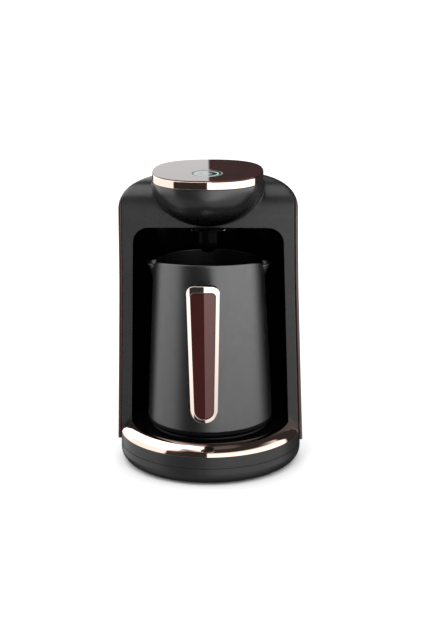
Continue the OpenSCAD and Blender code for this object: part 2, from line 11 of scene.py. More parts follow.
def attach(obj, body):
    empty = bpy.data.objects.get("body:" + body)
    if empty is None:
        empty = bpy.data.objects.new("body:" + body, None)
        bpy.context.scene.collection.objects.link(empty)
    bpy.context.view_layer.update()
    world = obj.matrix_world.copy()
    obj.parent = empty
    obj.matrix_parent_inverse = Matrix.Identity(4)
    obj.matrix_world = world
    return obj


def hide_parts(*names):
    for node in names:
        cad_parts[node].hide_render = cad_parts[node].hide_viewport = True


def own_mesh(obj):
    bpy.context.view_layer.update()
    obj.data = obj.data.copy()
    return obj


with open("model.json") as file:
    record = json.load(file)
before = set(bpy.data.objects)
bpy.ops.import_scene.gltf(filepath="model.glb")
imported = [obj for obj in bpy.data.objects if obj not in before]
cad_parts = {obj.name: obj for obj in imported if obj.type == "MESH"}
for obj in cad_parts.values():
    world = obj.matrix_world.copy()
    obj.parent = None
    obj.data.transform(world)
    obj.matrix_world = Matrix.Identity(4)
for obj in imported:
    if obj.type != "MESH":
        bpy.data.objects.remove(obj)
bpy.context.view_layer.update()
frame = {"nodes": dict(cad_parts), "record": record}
NODES = frame["nodes"]
SCN = bpy.context.scene
BASE_Y = 10.85      # base centre in the row frame, mm; shapes below are written from the base centre, in mm
POT_Y = -5.0
HEAD_Y = -5.7
KEY_Y = -19.0


# ------------------------------------------------------------------ camera, floor, light
def make_camera():
    a, pitch, roll = 0.0521, 0.2849, -0.0094
    loc = Vector((0.0781, -1.47105, 0.5595))
    fwd = Vector((-math.sin(a) * math.cos(pitch), math.cos(a) * math.cos(pitch), -math.sin(pitch)))
    right = Vector((math.cos(a), math.sin(a), 0.0))
    up = right.cross(fwd)
    r = right * math.cos(roll) + up * math.sin(roll)
    u = up * math.cos(roll) - right * math.sin(roll)
    m = Matrix.Identity(4)
    for i in range(3):
        m[i][0], m[i][1], m[i][2], m[i][3] = r[i], u[i], -fwd[i], loc[i]
    data = bpy.data.cameras.new("camera")
    data.sensor_fit = "AUTO"
    data.sensor_width = 36.0
    data.lens = 104.293
    data.clip_start, data.clip_end = 0.05, 40.0
    cam = bpy.data.objects.new("camera", data)
    cam.matrix_world = m
    SCN.collection.objects.link(cam)
    SCN.camera = cam
    SCN.view_settings.view_transform = "Standard"
    SCN.view_settings.look = "None"


def area(name, loc, target, size, power, colour=(1, 1, 1), glossy=True, diffuse=True, spread=180):
    data = bpy.data.lights.new(name, "AREA")
    data.shape = "RECTANGLE"
    data.size, data.size_y = size
    data.energy = power
    data.color = colour
    data.spread = math.radians(spread)
    ob = bpy.data.objects.new(name, data)
    ob.location = loc
    ob.rotation_euler = (Vector(target) - Vector(loc)).to_track_quat("-Z", "Y").to_euler()
    ob.visible_camera = False
    ob.visible_glossy = glossy
    ob.visible_diffuse = diffuse
    SCN.collection.objects.link(ob)
    return ob


def make_light():
    """A white room: even light for matte surfaces, and soft boxes with dark gaps between them for shiny ones."""
    world = bpy.data.worlds.new("world")
    SCN.world = world
    world.use_nodes = True
    world.cycles.sampling_method = "NONE"
    nt = world.node_tree
    nt.nodes.clear()
    out = nt.nodes.new("ShaderNodeOutputWorld")

    def background(strength):
        n = nt.nodes.new("ShaderNodeBackground")
        n.inputs["Color"].default_value = (1, 1, 1, 1)
        n.inputs["Strength"].default_value = strength
        return n
    seen, room, soft = background(1.0), background(1.0), background(1.10)
    path = nt.nodes.new("ShaderNodeLightPath")
    m1 = nt.nodes.new("ShaderNodeMixShader")
    m2 = nt.nodes.new("ShaderNodeMixShader")
    nt.links.new(path.outputs["Is Glossy Ray"], m1.inputs["Fac"])
    nt.links.new(soft.outputs[0], m1.inputs[1])
    nt.links.new(room.outputs[0], m1.inputs[2])
    nt.links.new(path.outputs["Is Camera Ray"], m2.inputs["Fac"])
    nt.links.new(m1.outputs[0], m2.inputs[1])
    nt.links.new(seen.outputs[0], m2.inputs[2])
    nt.links.new(m2.outputs[0], out.inputs["Surface"])

    coord = nt.nodes.new("ShaderNodeTexCoord")
    axes = nt.nodes.new("ShaderNodeSeparateXYZ")
    nt.links.new(coord.outputs["Generated"], axes.inputs[0])

    def maths(op, a, b=None, value=None):
        n = nt.nodes.new("ShaderNodeMath")
        n.operation = op
        nt.links.new(a, n.inputs[0])
        if b is not None:
            nt.links.new(b, n.inputs[1])
        elif value is not None:
            n.inputs[1].default_value = value
        return n.outputs[0]
    turn = maths("ARCTAN2", axes.outputs["X"], maths("MULTIPLY", axes.outputs["Y"], value=-1.0))
    lift = maths("ARCSINE", axes.outputs["Z"])

    def step(value, at, soft):
        """0 below the angle, 1 above it, smooth over soft degrees."""
        n = nt.nodes.new("ShaderNodeMapRange")
        n.interpolation_type = "SMOOTHSTEP"
        n.inputs["From Min"].default_value = math.radians(at - soft / 2)
        n.inputs["From Max"].default_value = math.radians(at + soft / 2)
        nt.links.new(value, n.inputs["Value"])
        return n.outputs[0]

    total = None
    for az0, s0, az1, s1, el0, e0, el1, e1, value in ROOM:
        f = step(lift, el0, e0)
        f = maths("SUBTRACT", f, step(lift, el1, e1))
        g = maths("SUBTRACT", step(turn, az0, s0), step(turn, az1, s1))
        f = maths("MULTIPLY", maths("MULTIPLY", f, g), value=value)
        total = f if total is None else maths("ADD", total, f)
    nt.links.new(maths("ADD", total, value=DARK), room.inputs["Strength"])

    area("key", (-0.5, -0.7, 1.5), (0, 0, 0.05), (1.0, 1.0), 7, glossy=False)
    area("fill", (0.7, -0.8, 1.3), (0, 0, 0.05), (1.0, 1.0), 5, glossy=False)
    area("back", (0.0, 1.1, 1.5), (0, 0, 0.05), (1.4, 1.0), 7, glossy=False)


DARK = 0.03
# soft boxes: azimuth from the front towards +X with the softness of the edge, the same for its end, then elevation from and to, then radiance
ROOM = [
    # azimuth from, softness, to, softness, elevation from, softness, to, softness (degrees), radiance
    (-1.8, 0.3, 113, 6, -22, 10, -8, 12, 1.10),
    (-1.8, 0.3, 113, 6, -14, 12, 38, 26, 1.52),
    (-1.8, 0.3, 92, 14, -59, 18, -24, 10, 0.42),
    (-150, 8, -57, 2.5, -22, 10, 62, 18, 1.28),
    (-150, 8, -46, 24, 30, 20, 80, 20, 0.45),
    (-107, 10, -57, 2.5, -60, 8, -24, 10, 0.36),
    (-57, 2.5, -1.8, 0.3, -59, 18, -24, 8, 0.19),
    (-177.0, 0.08, -118, 14, 2, 4, 42, 8, 0.9),
    (-176.0, 0.5, -1.8, 0.3, 65, 8, 96, 1, 2.0),
    (-150, 10, -60, 30, 46, 10, 68, 8, 0.9),
    (-1.8, 0.3, 176, 0.5, 72, 8, 96, 1, 0.08),
]


def make_floor():
    me = bpy.data.meshes.new("floor")
    n = 96
    v = [(0, 0, 0)] + [(9 * math.cos(2 * math.pi * i / n), 9 * math.sin(2 * math.pi * i / n), 0) for i in range(n)]
    me.from_pydata(v, [], [(0, 1 + i, 1 + (i + 1) % n) for i in range(n)])
    ob = bpy.data.objects.new("floor", me)
    SCN.collection.objects.link(ob)
    m = Mat("floor_paper")
    m.set(Roughness=0.9, **{"Specular IOR Level": 0.0, "Base Color": (0.93, 0.93, 0.93, 1)})
    me.materials.append(m.mat)
    ob.visible_glossy = False


# ------------------------------------------------------------------ materials
class Mat:
    """A Principled material with helpers for procedural detail in object space (metres)."""

    def __init__(self, name):
        self.mat = bpy.data.materials.new(name)
        self.mat.use_nodes = True
        self.nt = self.mat.node_tree
        self.nt.nodes.clear()
        self.out = self.nt.nodes.new("ShaderNodeOutputMaterial")
        self.bsdf = self.nt.nodes.new("ShaderNodeBsdfPrincipled")
        self.nt.links.new(self.bsdf.outputs[0], self.out.inputs["Surface"])
        self.coord = self.nt.nodes.new("ShaderNodeTexCoord")
        self.bumps = None

    def set(self, **kw):
        for k, v in kw.items():
            self.bsdf.inputs[k].default_value = v
        return self

    def node(self, kind, **kw):
        n = self.nt.nodes.new(kind)
        for k, v in kw.items():
            if k in n.inputs:
                n.inputs[k].default_value = v
            else:
                setattr(n, k, v)
        return n

    def link(self, a, b):
        self.nt.links.new(a, b)

    def noise(self, scale, detail=3.0, rough=0.55, stretch=None):
        src = self.coord.outputs["Object"]
        if stretch:
            mp = self.node("ShaderNodeMapping")
            mp.inputs["Scale"].default_value = stretch
            self.link(src, mp.inputs["Vector"])
            src = mp.outputs[0]
        n = self.node("ShaderNodeTexNoise", Scale=scale, Detail=detail, Roughness=rough)
        self.link(src, n.inputs["Vector"])
        return n.outputs["Fac"]

    def span(self, fac, lo, hi, a=0.3, b=0.7):
        r = self.node("ShaderNodeMapRange")
        r.inputs["From Min"].default_value, r.inputs["From Max"].default_value = a, b
        r.inputs["To Min"].default_value, r.inputs["To Max"].default_value = lo, hi
        self.link(fac, r.inputs["Value"])
        return r.outputs[0]

    def rough(self, fac, lo, hi):
        self.link(self.span(fac, lo, hi), self.bsdf.inputs["Roughness"])
        return self

    def colour(self, fac, c0, c1, a=0.3, b=0.7):
        mx = self.node("ShaderNodeMix", data_type="RGBA")
        mx.inputs[6].default_value = (*c0, 1)
        mx.inputs[7].default_value = (*c1, 1)
        self.link(self.span(fac, 0, 1, a, b), mx.inputs[0])
        self.link(mx.outputs[2], self.bsdf.inputs["Base Color"])
        return self

    def bump(self, fac, strength, distance):
        b = self.node("ShaderNodeBump", Strength=strength, Distance=distance)
        self.link(fac, b.inputs["Height"])
        if self.bumps is not None:
            self.link(self.bumps, b.inputs["Normal"])
        self.bumps = b.outputs[0]
        self.link(self.bumps, self.bsdf.inputs["Normal"])
        return self


MATS = {}


def plastic(name, c0, c1, r0, r1, grain=2600, depth=0.00001, strength=0.15, coat=0.0, coat_r=0.1, ior=1.5):
    m = Mat(name)
    m.set(IOR=ior, **{"Coat Weight": coat, "Coat Roughness": coat_r})
    m.colour(m.noise(38, 4), c0, c1)
    m.rough(m.noise(120, 5), r0, r1)
    m.bump(m.noise(grain, 2), strength, depth)
    MATS[name] = m.mat
    return m


def metal(name, c0, c1, r0, r1, stretch=(1, 1, 1), grain=900, strength=0.08, depth=0.00001):
    m = Mat(name)
    m.set(Metallic=1.0)
    m.colour(m.noise(30, 4), c0, c1)
    m.rough(m.noise(grain / 6, 4, stretch=stretch), r0, r1)
    m.bump(m.noise(grain, 3, stretch=stretch), strength, depth)
    MATS[name] = m.mat
    return m


def make_materials():
    plastic("base_black", (0.013, 0.013, 0.013), (0.016, 0.016, 0.016), 0.32, 0.38, 3000, ior=1.5)
    plastic("frame_black", (0.012, 0.012, 0.012), (0.015, 0.015, 0.015), 0.26, 0.31, 3200, strength=0.03, ior=1.60)
    bowl = plastic("bowl_black", (0.012, 0.012, 0.012), (0.015, 0.015, 0.015), 0.24, 0.28, 3200, strength=0.02, ior=1.80)
    # painted shade: the bowl's colour falls almost to black below about 212 mm, for the shade and dark reflections
    # under it
    axes = bowl.node("ShaderNodeSeparateXYZ")
    bowl.link(bowl.coord.outputs["Object"], axes.inputs[0])
    bowl.colour(axes.outputs[2], (0.0006, 0.0006, 0.0006), (0.0115, 0.0115, 0.0115), 0.212, 0.236)
    # painted highlight: a light grey for the seam bead, standing in for the light caught on the rounded edge of the
    # bowl's seat
    plastic("seam_highlight_grey", (0.055, 0.055, 0.055), (0.065, 0.065, 0.065), 0.2, 0.25, 2600, strength=0.03, ior=1.9)
    plastic("cavity_black", (0.0010, 0.0010, 0.0010), (0.0016, 0.0016, 0.0016), 0.18, 0.24, 2600, ior=1.32)
    plastic("dome_black", (0.0010, 0.0010, 0.0010), (0.0016, 0.0016, 0.0016), 0.22, 0.28, 2600, strength=0.03, ior=1.10)
    plastic("floor_black", (0.0016, 0.0016, 0.0016), (0.0024, 0.0024, 0.0024), 0.12, 0.2, 2600, ior=1.35)
    plastic("panel_brown", (0.036, 0.012, 0.011), (0.042, 0.015, 0.013), 0.12, 0.16, 2600, strength=0.05, coat=0.5, coat_r=0.05)
    inlay = plastic("inlay_brown", (0.034, 0.0090, 0.0080), (0.038, 0.010, 0.009), 0.020, 0.030, 900, strength=0.003, ior=1.95)
    inlay.set(**{"Specular Tint": (0.84, 0.54, 0.53, 1.0)})
    plastic("glass_brown", (0.041, 0.0135, 0.0130), (0.047, 0.0160, 0.0150), 0.006, 0.010, 800, strength=0.002, coat=1.0, coat_r=0.006)
    plastic("key_brown", (0.060, 0.022, 0.022), (0.068, 0.026, 0.026), 0.008, 0.012, 800, strength=0.002, coat=1.0, coat_r=0.006)
    metal("copper", (0.93, 0.66, 0.57), (0.95, 0.69, 0.60), 0.035, 0.055, strength=0.03)
    metal("trim_copper", (0.95, 0.80, 0.72), (0.97, 0.83, 0.75), 0.035, 0.055, strength=0.03)
    pot = metal("pot_metal", (0.13, 0.13, 0.13), (0.14, 0.14, 0.14), 0.34, 0.40, strength=0.03)
    # painted shade: the pot's colour darkens from its top towards its bottom, for the darker reflections on its lower
    # part
    axes = pot.node("ShaderNodeSeparateXYZ")
    pot.link(pot.coord.outputs["Object"], axes.inputs[0])
    pot.colour(axes.outputs[2], (0.104, 0.104, 0.104), (0.137, 0.137, 0.137), 0.045, 0.172)
    metal("plate_metal", (0.040, 0.040, 0.041), (0.055, 0.055, 0.056), 0.42, 0.50)
    metal("steel", (0.55, 0.55, 0.56), (0.62, 0.62, 0.63), 0.22, 0.32)
    metal("alu", (0.70, 0.70, 0.71), (0.76, 0.76, 0.77), 0.30, 0.42)
    plastic("rubber_black", (0.012, 0.012, 0.012), (0.016, 0.016, 0.016), 0.65, 0.8, 1500, strength=0.3, depth=0.00004)
    plastic("silicone", (0.20, 0.03, 0.02), (0.24, 0.035, 0.025), 0.5, 0.6, 1500)
    plastic("mica", (0.55, 0.48, 0.34), (0.65, 0.58, 0.42), 0.4, 0.7, 900)
    plastic("ceramic_white", (0.72, 0.69, 0.62), (0.78, 0.75, 0.68), 0.5, 0.6, 1500)
    plastic("pcb", (0.02, 0.14, 0.05), (0.03, 0.18, 0.06), 0.3, 0.4, 1500)
    plastic("part_blue", (0.02, 0.07, 0.3), (0.03, 0.09, 0.34), 0.3, 0.4)
    plastic("part_black", (0.01, 0.01, 0.01), (0.014, 0.014, 0.014), 0.4, 0.5)
    plastic("part_cream", (0.72, 0.68, 0.58), (0.78, 0.74, 0.64), 0.4, 0.5)
    plastic("core_yellow", (0.5, 0.38, 0.16), (0.56, 0.44, 0.2), 0.4, 0.5)
    plastic("wire_red", (0.4, 0.03, 0.02), (0.45, 0.04, 0.03), 0.4, 0.5)
    lit = plastic("light_guide", (0.05, 0.08, 0.08), (0.06, 0.09, 0.09), 0.3, 0.35)
    lit.set(**{"Emission Color": (0.30, 0.62, 0.58, 1.0), "Emission Strength": 0.9})
    plastic("foot_black", (0.0020, 0.0020, 0.0020), (0.0028, 0.0028, 0.0028), 0.5, 0.6, 2600, ior=1.2)
    plastic("handle_black", (0.010, 0.010, 0.010), (0.014, 0.014, 0.014), 0.42, 0.50, 2600)
    plastic("lens_dark", (0.01, 0.002, 0.002), (0.015, 0.003, 0.003), 0.1, 0.15, ior=1.3)


def dress_cad():
    """Every CAD node takes the material of the record's slot that lists it."""
    for part in frame["record"]["subparts"]:
        me = NODES[part["node"]].data
        me.materials.clear()
        me.materials.append(MATS[part["material_slot"]])


# ------------------------------------------------------------------ mesh helpers (millimetres, base-centred)
def to_row(pts):
    p = np.asarray(pts, dtype=float).reshape(-1, 3) / 1000.0
    p[:, 1] += BASE_Y / 1000.0
    return p


def piece(name, verts, faces, body, slot, nodes=(), weld=0.0, angle=38.0, normals=None, weighted=True, mat_name=None):
    """A finished piece: verts in mm from the base centre, faces as index tuples."""
    me = bpy.data.meshes.new(name)
    pts = to_row(verts)
    if normals is not None:
        # points that lie together become one; every corner keeps its own normal
        key, first, ids = np.unique(np.round(pts * 1e7).astype(np.int64), axis=0, return_index=True, return_inverse=True)
        ids = ids.reshape(-1)
        kept, corner = [], []
        for f in faces:
            g = [int(ids[i]) for i in f]
            q = [(a, f[k]) for k, a in enumerate(g) if a != g[k - 1]]
            if len(q) > 2 and len({a for a, _ in q}) == len(q):
                kept.append(tuple(a for a, _ in q))
                corner += [tuple(normals[b]) for _, b in q]
        me.from_pydata([tuple(v) for v in pts[first]], [], kept)
        me.update()
        me.shade_smooth()
        me.normals_split_custom_set(corner)
    else:
        me.from_pydata([tuple(v) for v in pts], [], [tuple(int(i) for i in f) for f in faces])
        bm = bmesh.new()
        bm.from_mesh(me)
        if weld:
            bmesh.ops.remove_doubles(bm, verts=bm.verts, dist=weld / 1000.0)
        bmesh.ops.recalc_face_normals(bm, faces=bm.faces)
        bm.to_mesh(me)
        bm.free()
        me.validate()
        me.shade_smooth()
        me.set_sharp_from_angle(angle=math.radians(angle))
    me.materials.append(MATS[mat_name or slot])
    ob = bpy.data.objects.new(name, me)
    SCN.collection.objects.link(ob)
    if normals is None and weighted:
        wn = ob.modifiers.new("weighted", "WEIGHTED_NORMAL")
        wn.keep_sharp = True
    if nodes:
        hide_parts(*nodes)
    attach(ob, body)
    return ob


def rounded(points, step=14.0, closed=False):
    """Polyline through (x, y) or (x, y, r) points with its corners rounded by radius r."""
    n = len(points)
    out = []
    for i, p in enumerate(points):
        r = p[2] if len(p) > 2 else 0.0
        c = np.array(p[:2], float)
        if r <= 0 or (not closed and i in (0, n - 1)):
            out.append(c)
            continue
        a = np.array(points[i - 1][:2], float) - c
        b = np.array(points[(i + 1) % n][:2], float) - c
        la, lb = np.linalg.norm(a), np.linalg.norm(b)
        a, b = a / la, b / lb
        half = 0.5 * math.acos(max(-1.0, min(1.0, float(a @ b))))
        if half > math.radians(88.5):
            out.append(c)
            continue
        t = min(r / math.tan(half), 0.48 * la, 0.48 * lb)
        r = t * math.tan(half)
        m = (a + b) / np.linalg.norm(a + b)
        o = c + m * (r / math.sin(half))
        u, v = c + a * t - o, c + b * t - o
        sweep = math.pi - 2 * half
        k = max(2, int(math.ceil(math.degrees(sweep) / step)))
        for j in range(k + 1):
            w = j / k
            d = (math.sin((1 - w) * sweep) * u + math.sin(w * sweep) * v) / math.sin(sweep)
            out.append(o + d)
    return np.array(out)


def spread(line, gap):
    """The polyline with long straight runs cut into steps of about gap."""
    out = [line[0]]
    for a, b in zip(line[:-1], line[1:]):
        k = max(1, int(round(np.linalg.norm(b - a) / gap)))
        out += [a + (b - a) * j / k for j in range(1, k + 1)]
    return np.array(out)


def lathe(line, seg=180, centre=(0.0, 0.0), closed=False):
    """Revolves (r, z) points; points with r = 0 become poles."""
    verts, ring = [], []
    for r, z in line:
        if r < 1e-6:
            ring.append([len(verts)] * seg)
            verts.append((centre[0], centre[1], z))
        else:
            ring.append(list(range(len(verts), len(verts) + seg)))
            verts += [(centre[0] + r * math.cos(2 * math.pi * k / seg), centre[1] + r * math.sin(2 * math.pi * k / seg), z)
                      for k in range(seg)]
    faces = []
    m = len(line)
    for i in range(m if closed else m - 1):
        a, b = ring[i], ring[(i + 1) % m]
        for k in range(seg):
            f = [a[k], a[(k + 1) % seg], b[(k + 1) % seg], b[k]]
            g = []
            for v in f:
                if v not in g:
                    g.append(v)
            if len(g) > 2:
                faces.append(g)
    return verts, faces


def loft(rings, cap_lo=False, cap_hi=False, wrap=False):
    """Quads between closed rings of equal length, given as arrays of 3-D points."""
    n = len(rings[0])
    verts = [tuple(p) for r in rings for p in r]
    faces = []
    m = len(rings)
    for i in range(m if wrap else m - 1):
        a, b = i * n, ((i + 1) % m) * n
        faces += [(a + k, a + (k + 1) % n, b + (k + 1) % n, b + k) for k in range(n)]
    if cap_lo:
        faces.append(tuple(range(n - 1, -1, -1)))
    if cap_hi:
        faces.append(tuple(range((m - 1) * n, m * n)))
    return verts, faces


def join(*parts):
    verts, faces = [], []
    for v, f in parts:
        o = len(verts)
        verts += list(v)
        faces += [tuple(i + o for i in q) for q in f]
    return verts, faces


def inside(poly, pts):
    """Which of pts are inside the closed polygon."""
    p, q = poly, np.roll(poly, -1, axis=0)
    x, y = pts[:, 0][:, None], pts[:, 1][:, None]
    dy = q[:, 1] - p[:, 1]
    hit = (p[:, 1] > y) != (q[:, 1] > y)
    with np.errstate(divide="ignore", invalid="ignore"):
        xi = p[:, 0] + (y - p[:, 1]) * (q[:, 0] - p[:, 0]) / np.where(dy == 0, 1e-12, dy)
    return (hit & (x < xi)).sum(1) % 2 == 1


def near(poly, pts, d):
    """Which of pts are closer than d to the closed polygon's line."""
    a, b = poly, np.roll(poly, -1, axis=0)
    ab = b - a
    L = (ab ** 2).sum(1) + 1e-12
    out = np.zeros(len(pts), bool)
    for i in range(0, len(pts), 4000):
        p = pts[i:i + 4000, None, :]
        t = np.clip(((p - a) * ab).sum(2) / L, 0, 1)
        out[i:i + 4000] = (((p - a - ab * t[..., None]) ** 2).sum(2).min(1)) < d * d
    return out


def outward(poly):
    """Unit normals of a closed polygon's points, away from its inside, with mitres."""
    a = np.roll(poly, 1, axis=0)
    b = np.roll(poly, -1, axis=0)
    e1, e2 = poly - a, b - poly
    e1 /= np.linalg.norm(e1, axis=1)[:, None] + 1e-12
    e2 /= np.linalg.norm(e2, axis=1)[:, None] + 1e-12
    n1 = np.stack([e1[:, 1], -e1[:, 0]], 1)
    n2 = np.stack([e2[:, 1], -e2[:, 0]], 1)
    area2 = (a[:, 0] * poly[:, 1] - poly[:, 0] * a[:, 1]).sum()
    if area2 < 0:
        n1, n2 = -n1, -n2
    m = n1 + n2
    m /= np.linalg.norm(m, axis=1)[:, None] + 1e-12
    k = 1.0 / np.clip((m * n1).sum(1), 0.5, 1.0)
    return m, k


def sheet_shell(surf, loops, grid, wall):
    """A closed shell of a bent sheet. surf maps (u, v) to 3-D points, loops are (closed polygon, is_hole, radius) in (u, v), grid are inner points.
    The edges of the outer face are rounded. Returns verts, faces and normals."""
    def frame_at(uv):
        e = 0.02
        p = surf(uv)
        du = (surf(uv + [e, 0]) - surf(uv - [e, 0])) / (2 * e)
        dv = (surf(uv + [0, e]) - surf(uv - [0, e])) / (2 * e)
        n = np.cross(du, dv)
        n /= np.linalg.norm(n, axis=1)[:, None]
        return p, du, dv, n

    V, N, F = [], [], []
    count = 0
    cdt_pts, cdt_edges, cdt_ids = [], [], []
    back_pts, back_ids = [], []
    for poly, hole, r in loops:
        m, k = outward(poly)
        if hole:
            m = -m
        n = len(poly)
        thetas = [90, 66, 44, 22, 0]
        rows = []
        tan3 = None
        for th in thetas + [-1]:
            if th >= 0:
                c, s = math.cos(math.radians(th)), math.sin(math.radians(th))
                e, h = r * (1 - s), r * (1 - c)
            else:
                c, s, e, h = 1.0, 0.0, r + 0.1, 0.0
            uv = poly - m * (k * e)[:, None]
            p, du, dv, nn = frame_at(uv)
            t = du * m[:, :1] + dv * m[:, 1:]
            t -= nn * (t * nn).sum(1)[:, None]
            t /= np.linalg.norm(t, axis=1)[:, None]
            if th == 90:
                tan3 = t
                pin, nin = p - nn * wall, nn
            V.append(p - nn * h)
            q = nn * c + t * s
            N.append(q)
            rows.append(count)
            count += n
        # rim
        V.append(pin); N.append(tan3); rim = count; count += n
        V.append(pin); N.append(-nin); back = count; count += n
        for a, b in zip(rows[:-1], rows[1:]):
            F += [(a + i, a + (i + 1) % n, b + (i + 1) % n, b + i) for i in range(n)]
        F += [(rim + i, rim + (i + 1) % n, rows[0] + (i + 1) % n, rows[0] + i) for i in range(n)]
        last = poly - m * (k * (r + 0.1))[:, None]
        start = len(cdt_pts)
        cdt_pts += [tuple(q) for q in last]
        cdt_ids += [rows[-1] + i for i in range(n)]
        cdt_edges += [(start + i, start + (i + 1) % n) for i in range(n)]
        # back of the band
        p, du, dv, nn = frame_at(last)
        V.append(p - nn * wall); N.append(-nn); bl = count; count += n
        back_ids += [bl + i for i in range(n)]
        F += [(back + (i + 1) % n, back + i, bl + i, bl + (i + 1) % n) for i in range(n)]
    p, du, dv, nn = frame_at(grid)
    V.append(p); N.append(nn); g0 = count; count += len(grid)
    V.append(p - nn * wall); N.append(-nn); g1 = count; count += len(grid)
    cdt_ids += [g0 + i for i in range(len(grid))]
    back_ids += [g1 + i for i in range(len(grid))]
    cdt_pts += [tuple(q) for q in grid]
    res = delaunay_2d_cdt([Vector(q) for q in cdt_pts], cdt_edges, [], 0, 1e-7)
    vv, _, tris, orig = res[0], res[1], res[2], res[3]
    ids = [o[0] if o else -1 for o in orig]
    pts = np.array([tuple(q) for q in vv])
    cen = np.array([pts[list(t)].mean(0) for t in tris])
    keep = np.ones(len(tris), bool)
    for (poly, hole, r) in loops:
        m, k = outward(poly)
        if hole:
            m = -m
        keep &= inside(poly - m * (k * (r + 0.1))[:, None], cen) != hole
    for t, ok in zip(tris, keep):
        if ok and all(ids[i] >= 0 for i in t):
            q = [cdt_ids[ids[i]] for i in t]
            b = [back_ids[ids[i]] for i in t]
            F.append(tuple(q))
            F.append(tuple(reversed(b)))
    V, N = np.concatenate(V), np.concatenate(N)
    # wind every face with its normals
    out = []
    for f in F:
        a, b, c = V[f[0]], V[f[1]], V[f[2]]
        nrm = np.cross(b - a, c - a)
        if len(f) == 4:
            nrm = nrm + np.cross(c - a, V[f[3]] - a)
        want = N[list(f)].sum(0)
        out.append(f if float(nrm @ want) >= 0 else tuple(reversed(f)))
    return V, out, N


def dip(e, rho):
    """How far an edge rounded by rho falls at distance e from it."""
    e = np.clip(e, 0, rho)
    return rho - np.sqrt(rho * rho - (rho - e) ** 2)


# ------------------------------------------------------------------ the housing's shape
HOUSE_W, LEAN, FLANK_R, FLANK_Y = 74.5, 0.0282, 82.0, -8.1
FRONT_Y, FRONT_R, TOP_Z, SHOULDER_R, BACK_R = -12.0, 27.5, 240.0, 20.0, 30.0
STRIP_W, CROWN_Z, SPLIT_Y, WALL = 3.2, 229.3, 44.0, 2.6
BASE_R, SEAM_Z, SKIRT_Z, RING_Z = 76.7, 15.7, 25.5, 34.6
HEAD_W, HEAD_D, GLASS_Z, BOWL_A, BOWL_C = 45.85, 44.7, 251.5, 46.9, 34.8
POT_R1, POT_SLOPE, MOUTH_Z, BROW_H = 52.8, 7.0 / 139.0, 173.0, 9.7


def side_x(z):
    z = np.minimum(np.asarray(z, float), 220.0)
    hi = HOUSE_W + 0.0073 * (215.0 - z)
    lo = HOUSE_W + 0.4015 + LEAN * (160.0 - z)
    return 0.5 * (hi + lo + np.sqrt((hi - lo) ** 2 + 0.09))


def front_line(s):
    """Arc length up the front and over the top to (y, z)."""
    s = np.asarray(s, float)
    s1 = TOP_Z - FRONT_R
    s2 = s1 + FRONT_R * math.pi / 2
    s3 = s2 + (70.0 - BACK_R) - (FRONT_Y + FRONT_R)
    f = np.clip((s - s1) / FRONT_R, 0, math.pi / 2)
    g = np.clip((s - s3) / BACK_R, 0, math.pi / 2)
    y = FRONT_Y + FRONT_R * (1 - np.cos(f)) + np.clip(s - s2, 0, s3 - s2) + BACK_R * np.sin(g)
    z = np.minimum(s, s1) + FRONT_R * np.sin(f) - BACK_R * (1 - np.cos(g))
    return y, z


def flank_drop(x, y):
    """How far the rounded shoulder lies under the top."""
    w = float(side_x(220.0))
    d = FLANK_R - np.sqrt((np.abs(x) + FLANK_R - w) ** 2 + (y - FLANK_Y) ** 2)
    d = np.clip(d, 0.0, SHOULDER_R)
    return SHOULDER_R - np.sqrt(np.maximum(SHOULDER_R ** 2 - (SHOULDER_R - d) ** 2, 0))


def crown(uv):
    """The frame's sheet: (x, arc length) to a point; over the shoulders it falls with the flanks."""
    x, s = uv[:, 0], uv[:, 1]
    y, z = front_line(s)
    drop = TOP_Z - z
    fl = flank_drop(x, y)
    both = (np.maximum(drop, 0) ** 8 + fl ** 8) ** 0.125
    k = np.clip((z - 205.0) / 10.0, 0, 1)
    zz = z - k * (both - drop)
    return np.stack([x, y, zz], 1)


def seam_x(z):
    return side_x(np.minimum(z, 215.0)) - STRIP_W


def open_x(z):
    return 62.6 + 0.0262 * (190.8 - z)


def resample(line, gap):
    d = np.concatenate([[0], np.cumsum(np.linalg.norm(np.diff(line, axis=0), axis=1))])
    n = max(2, int(round(d[-1] / gap)))
    t = np.linspace(0, d[-1], n + 1)
    return np.stack([np.interp(t, d, line[:, i]) for i in range(line.shape[1])], 1)


